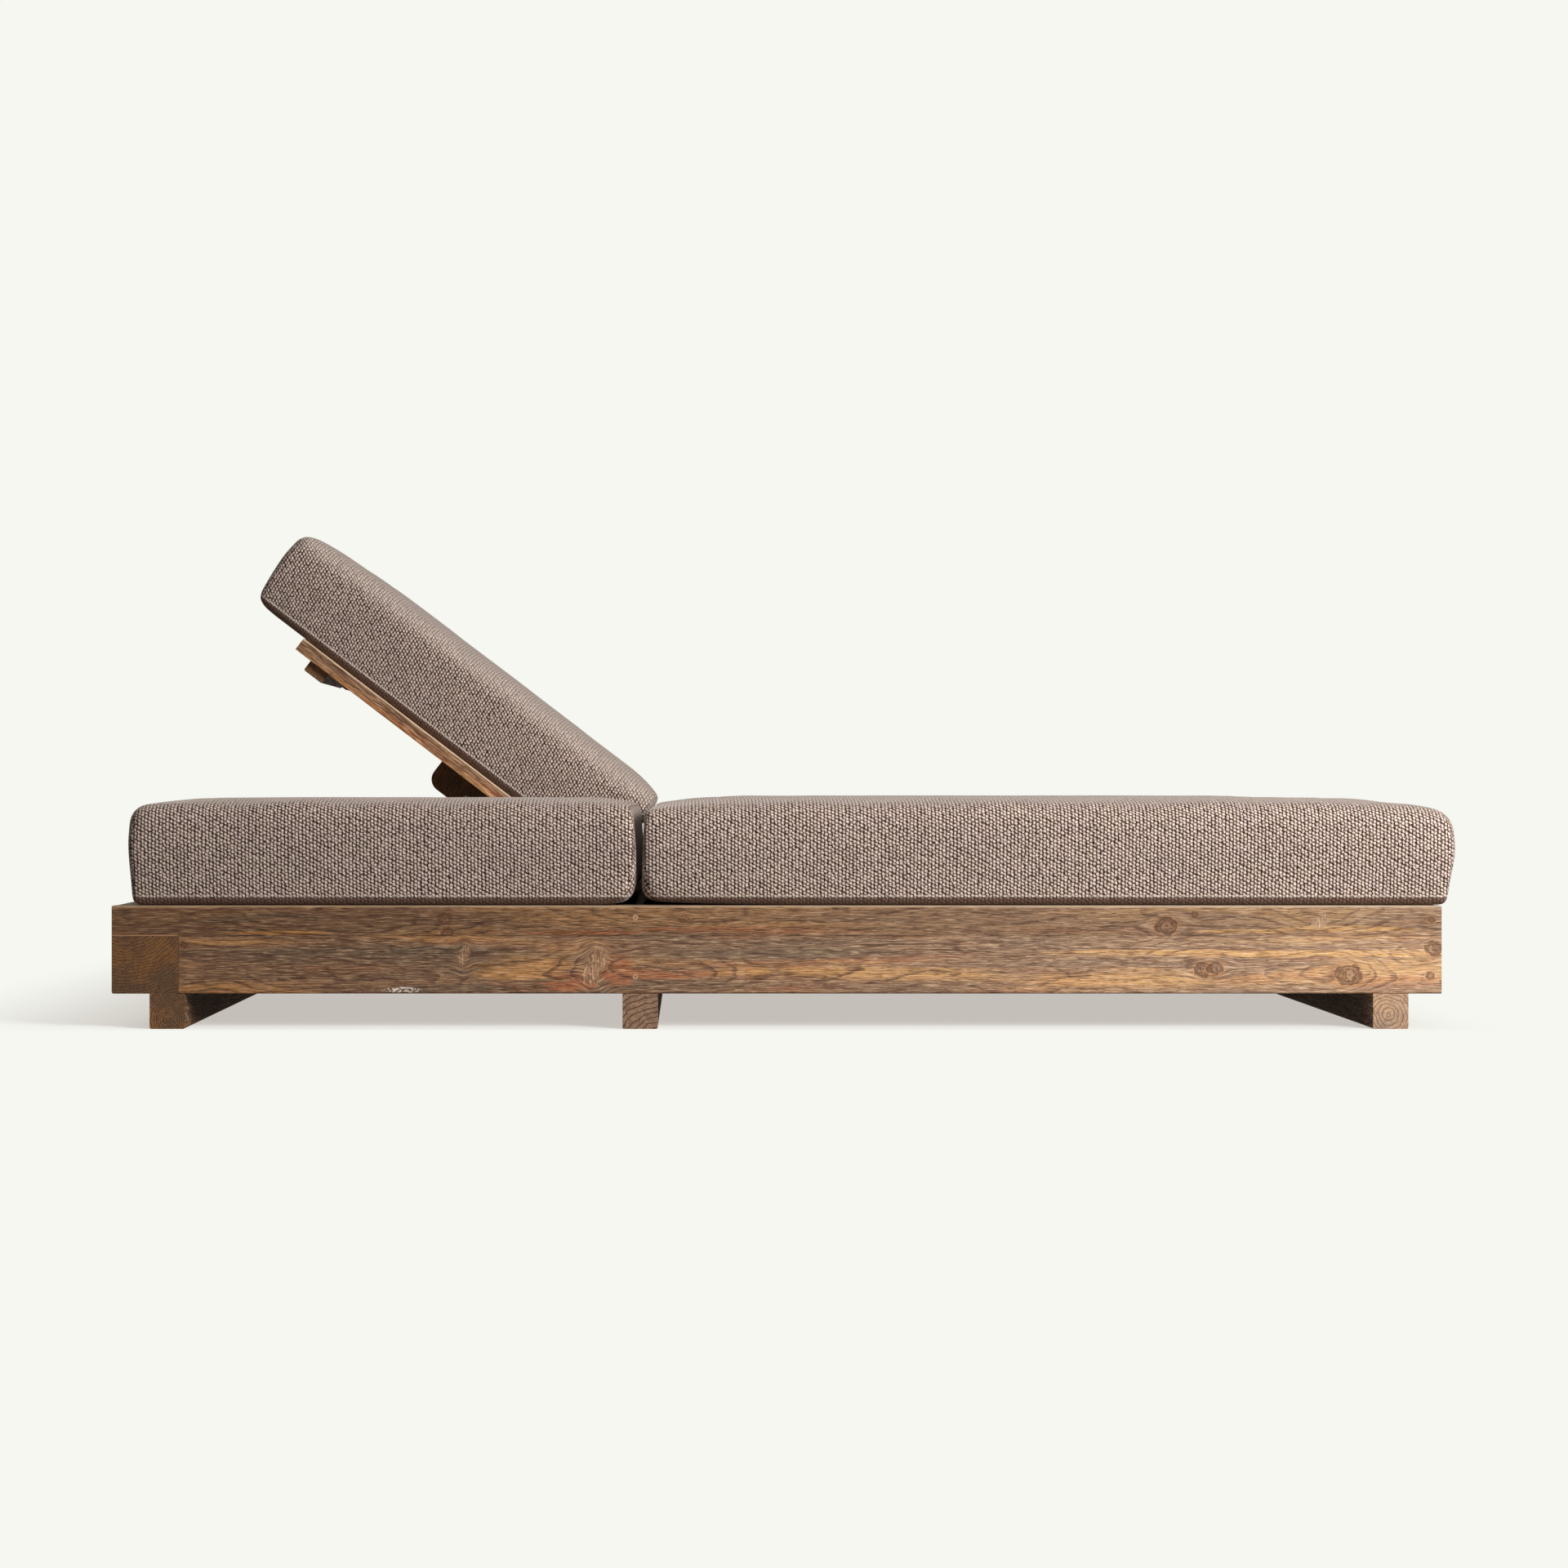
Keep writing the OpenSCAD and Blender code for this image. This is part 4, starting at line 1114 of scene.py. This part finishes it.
@dataclass
class Timber:
    """The wooden nodes and the teak that each of them is cut from."""

    nodes: dict[str, bpy.types.Object]

    def cut(self, finish: Teak | Plug, *names: str) -> None:
        """Gives one finish to the nodes named."""
        material = finish.material()
        for name in names:
            dress(self.nodes[name], material)

    def near_rail(self) -> None:
        """Dresses the near rail's two boards, which have marks of their own."""
        self.cut(Teak(
            "teak_near_lower", Grain.ALONG, pith=(-0.750, 0.085), ring=0.0062, ring_depth=0.75, gold=0.6,
            shade=1.30, joint_z=BOARD_JOINT, joint_x=-0.9135, fleck=(-0.577, 0.0585),
            knots=(Knot(0.627, 0.0885, 0.010), Knot(0.646, 0.0915, 0.009), Knot(0.8474, 0.0811, 0.014),
                   Knot(0.9739, 0.1204, 0.010), Knot(0.969, 0.0799, 0.005), Knot(-0.9049, 0.1265, 0.004)),
            feathers=(Feather(-0.288, 0.093, 0.019, 0.032), Feather(-0.4835, 0.112, 0.010, 0.018, 0.45)),
            streaks=(Streak(-0.39, 0.093, 0.085, 0.022, GOLD), Streak(0.70, 0.1135, 0.36, 0.007, GOLD, 0.9),
                     Streak(-0.22, 0.083, 0.17, 0.010, RUST, 0.8), Streak(0.10, 0.086, 0.26, 0.008, GOLD, 0.7),
                     Streak(0.52, 0.075, 0.16, 0.016, GOLD, 0.6), Streak(-0.62, 0.11, 0.28, 0.018, SMOKE, 0.6),
                     Streak(-0.52, 0.118, 0.08, 0.008, SMOKE, 0.8), Streak(-0.50, 0.062, 0.10, 0.007, SMOKE, 0.8),
                     Streak(0.03, 0.112, 0.24, 0.010, SMOKE, 0.6), Streak(-0.325, 0.066, 0.050, 0.011, RUST, 0.9),
                     Streak(-0.250, 0.084, 0.026, 0.024, RUST, 0.8))), "near_rail_lower")
        self.cut(Teak(
            "teak_near_upper", Grain.ALONG, pith=(-0.735, 0.190), ring=0.0062, ring_depth=0.85, gold=0.3,
            shade=0.99, warmth=1.04, edge_z=DECK, joint_z=BOARD_JOINT,
            knots=(Knot(0.5725, 0.1545, 0.012), Knot(0.615, 0.172, 0.004), Knot(0.9714, 0.1634, 0.004),
                   Knot(-0.513, 0.166, 0.008, 0.7), Knot(-0.509, 0.1445, 0.007, 0.8),
                   Knot(-0.153, 0.166, 0.006, 0.5)),
            feathers=(Feather(0.8045, 0.161, 0.013, 0.014, 0.8, 0.0),),
            streaks=(Streak(-0.77, 0.1445, 0.09, 0.0035, GOLD, 0.9), Streak(0.84, 0.1515, 0.12, 0.006, GOLD, 0.8),
                     Streak(0.68, 0.147, 0.10, 0.004, GOLD, 0.8), Streak(-0.30, 0.145, 0.12, 0.004, RUST, 0.7),
                     Streak(-0.05, 0.149, 0.20, 0.005, RUST, 0.6))), "near_rail_upper")

    def frame(self) -> None:
        """Dresses the other rails and the cross beams."""
        self.cut(Teak("teak_rail_lower", Grain.ALONG, pith=(0.72, 0.03), ring=0.0055, joint_z=BOARD_JOINT,
                      knots=(Knot(-0.31, 0.10, 0.014), Knot(0.52, 0.075, 0.012))),
                 "far_rail_lower", "centre_rail_lower")
        self.cut(Teak("teak_rail_upper", Grain.ALONG, pith=(0.85, 0.13), ring=0.0045, edge_z=DECK,
                      joint_z=BOARD_JOINT, knots=(Knot(0.17, 0.165, 0.010), Knot(-0.66, 0.158, 0.008))),
                 "far_rail_upper", "centre_rail_upper")
        self.cut(Teak("teak_end_beam", Grain.ACROSS, pith=(-0.99, 0.20), ring=0.0048, ring_depth=0.8, gold=0.2,
                      shade=0.98, warmth=1.09), "head_end_beam")
        self.cut(Teak("teak_beam", Grain.ACROSS, pith=(1.10, 0.20), ring=0.0050, ring_depth=0.4,
                      knots=(Knot(-0.42, 0.10, 0.013), Knot(0.33, 0.082, 0.010))),
                 "near_hinge_beam", "far_hinge_beam", "foot_rail_lower")
        self.cut(Teak("teak_lip", Grain.ACROSS, pith=(0.9, 0.08), ring=0.005, edge_z=DECK),
                 "head_end_lip", "foot_rail_upper")
        # The legs carry painted shade on their inner length, under the frame.
        for place, pith, ring, depth, gold, shade, gloss, warmth in (
            ("head", (-0.925, 0.012), 0.0040, 0.75, 0.2, 1.32, 0.06, 1.0),
            ("middle", (-0.185, -0.03), 0.0080, 1.0, 0.1, 1.46, 0.06, 0.88),
            ("foot", (0.910, 0.0185), 0.0056, 0.85, 0.2, 1.44, 0.10, 0.92),
        ):
            self.cut(Teak(f"teak_{place}_leg", Grain.ACROSS, pith=pith, ring=ring, ring_depth=depth, gold=gold,
                          shade=shade, painted_shade_from=0.78, gloss=gloss, warmth=warmth), place + "_leg_beam")

    def decks(self) -> None:
        """Dresses the seat decks, the flat back, the racks and what carries them."""
        self.cut(Teak("teak_slats", Grain.ALONG, pith=(0.05, 0.11), ring=0.0050, board_w=SLAT_PITCH),
                 "near_seat_slats", "far_seat_slats", "near_back_slats")
        self.cut(Teak("teak_batten", Grain.ACROSS, pith=(0.1, 0.3), shade=0.9),
                 "near_seat_bearers", "far_seat_bearers", "near_seat_ledgers", "far_seat_ledgers",
                 "near_head_battens", "near_middle_batten", "near_foot_batten", "near_prop_cleats")
        self.cut(Teak("teak_rack", Grain.ALONG, pith=(0.3, 0.02), shade=0.9),
                 "near_prop_rack", "far_prop_rack", "near_prop")
        self.cut(Plug(), "rail_plugs")

    def raised_back(self) -> None:
        """Dresses the raised back, whose boards are turned with it."""
        # Painted light: the raised slats are a paler, more golden copy of the flat slats, with a stronger painted edge
        # highlight.
        self.cut(Teak("teak_raised_slats", Grain.ALONG, pith=(0.05, 0.11), ring=0.0050, turn_centre=HINGE,
                      turn=-RAISED, board_w=SLAT_PITCH, shade=1.55, gold=0.9, edge_z=DECK, edge_highlight=0.95),
                 "far_back_slats")
        # Painted light: the raised battens are a paler copy of the flat battens, shade 1.4 against 0.9.
        self.cut(Teak("teak_raised_batten", Grain.ACROSS, pith=(0.1, 0.3), turn_centre=HINGE, turn=-RAISED,
                      shade=1.4, warmth=1.1),
                 "far_head_battens", "far_middle_batten", "far_foot_batten", "far_prop_cleats")
        self.cut(Teak("teak_raised_prop", Grain.ALONG, pith=(0.3, 0.02), turn_centre=FAR_BOLT, turn=-PROP_TURN,
                      shade=0.9), "far_prop")

    def build(self) -> None:
        """Dresses all the wood."""
        for part in (self.near_rail, self.frame, self.decks, self.raised_back):
            part()


@dataclass
class Metalwork:
    """The hinges, bolts and screws."""

    nodes: dict[str, bpy.types.Object]
    words: tuple[str, ...] = ("leaves", "pins", "bolt", "screws")

    def build(self) -> None:
        """Gives every metal node its steel."""
        steel = Steel().material()
        for name, node in self.nodes.items():
            if name.endswith(self.words):
                dress(node, steel)


@dataclass
class Studio:
    """The pale floor and backdrop, the lamp and the camera."""

    backdrop: Colour = paint(246, 247, 241)
    camera_at: Point = (-0.1399, -5.6, 0.366)
    lens: float = 73.29
    sensor: float = 36.0
    shift: tuple[float, float] = (0.0583, 0.001)
    view_end: float = 200.0
    key_at: Point = (2.9, -3.6, 1.8)
    key_aim: Point = (0.2, -0.4, 0.1)
    key_size: float = 1.8
    key_power: float = 250.0
    ambient: float = 0.30
    bounce: float = 0.14
    shadow: Point = (0.40, 0.445, 0.447)
    shadow_x: tuple[tuple[float, float], ...] = ((-1.45, -1.0), (1.12, 0.93))
    shadow_y: tuple[tuple[float, float], ...] = ((-0.86, -0.795), (1.5, 1.0))
    floor_size: float = 30.0

    def camera(self) -> None:
        """Sets the camera where the photograph was taken from."""
        data = bpy.data.cameras.new("camera")
        data.lens = self.lens
        data.sensor_width = self.sensor
        data.shift_x, data.shift_y = self.shift
        data.clip_end = self.view_end
        camera = put("camera", data)
        camera.location = self.camera_at
        camera.rotation_euler = (math.pi / 2, 0.0, 0.0)
        bpy.context.scene.camera = camera

    def key(self) -> None:
        """Adds the soft square key lamp."""
        data = bpy.data.lights.new("key", "AREA")
        data.size = self.key_size
        data.energy = self.key_power
        lamp = put("key", data)
        lamp.location = self.key_at
        lamp.rotation_mode = "QUATERNION"
        lamp.rotation_quaternion = (Vector(self.key_aim) - Vector(self.key_at)).to_track_quat("-Z", "Y")

    def seen(self, graph: Graph) -> Value:
        """Says whether a ray shows the backdrop.

        Args:
            graph: The node tree.

        Returns:
            1 for a camera, glossy or transmission ray, and 0 for the others.
        """
        path = graph.add("LightPath").outputs
        names = ("Is Camera Ray", "Is Glossy Ray", "Is Transmission Ray")
        camera, glossy, through = (Value(graph, path[name]) for name in names)
        return (camera + glossy + through).least(1.0)

    def world(self) -> None:
        """Makes the even pale world."""
        world = bpy.data.worlds.new("pale")
        graph = Graph(world)
        colour = self.seen(graph).tint((self.ambient, self.ambient, self.ambient, 1.0), self.backdrop)
        graph.add("OutputWorld", {0: graph.read("Background", {0: colour, 1: 1.0})})
        bpy.context.scene.world = world

    def floor_finish(self) -> bpy.types.Material:
        """Builds the floor's finish: the backdrop's colour, less what the lounger's shadow takes.

        Returns:
            The material.
        """
        graph = Graph(bpy.data.materials.new("pale_floor"))
        x, y, _ = graph.place().parts()
        left, right = (x.step(*edge) for edge in self.shadow_x)
        front, rear = (y.step(*edge) for edge in self.shadow_y)
        share = left * right * front * rear
        away = graph.read("VectorMath", {0: graph.place(), 1: self.key_at}, "Value", operation="DISTANCE")
        strength = self.key_power / math.pi ** 2 * self.key_at[2]
        key = graph.read("Math", {0: strength, 1: away.calc("POWER", 3.0)}, operation="DIVIDE")
        taken = [part * self.backdrop[i] for i, part in enumerate(self.shadow)]
        albedo, dark = (graph.read("VectorMath", {0: taken, "Scale": scale}, operation="SCALE")
                        for scale in (share / (key + self.ambient), share))
        glow = graph.read("VectorMath", {0: self.backdrop[:3], 1: dark}, operation="SUBTRACT")
        shown = graph.read("Emission", {0: glow, 1: 1.0})
        plain = graph.read("BsdfDiffuse", {0: (self.bounce, self.bounce, self.bounce, 1.0)})
        lit = graph.read("AddShader", {0: shown, 1: graph.read("BsdfDiffuse", {0: albedo})})
        graph.add("OutputMaterial", {0: graph.read("MixShader", {0: self.seen(graph), 1: plain, 2: lit})})
        return graph.owner

    def floor(self) -> None:
        """Lays the floor, which shows the backdrop's colour and the lounger's shadow."""
        data = bpy.data.meshes.new("floor")
        half = self.floor_size
        corners = [(-half, -half, 0), (half, -half, 0), (half, half, 0), (-half, half, 0)]
        data.from_pydata(corners, [], [(0, 1, 2, 3)])
        floor = put("floor", data)
        dress(floor, self.floor_finish())

    def build(self) -> None:
        """Builds the whole studio."""
        for part in (self.camera, self.world, self.key, self.floor):
            part()
        bpy.context.scene.view_settings.view_transform = "Standard"


def main() -> None:
    """Builds the scene piece by piece."""
    logging.basicConfig(level=logging.INFO, format="%(message)s")
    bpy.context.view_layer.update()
    nodes = frame["nodes"]
    Studio().build()
    Timber(nodes).build()
    Metalwork(nodes).build()
    Cushions().build()


if __name__ == "__main__":
    main()
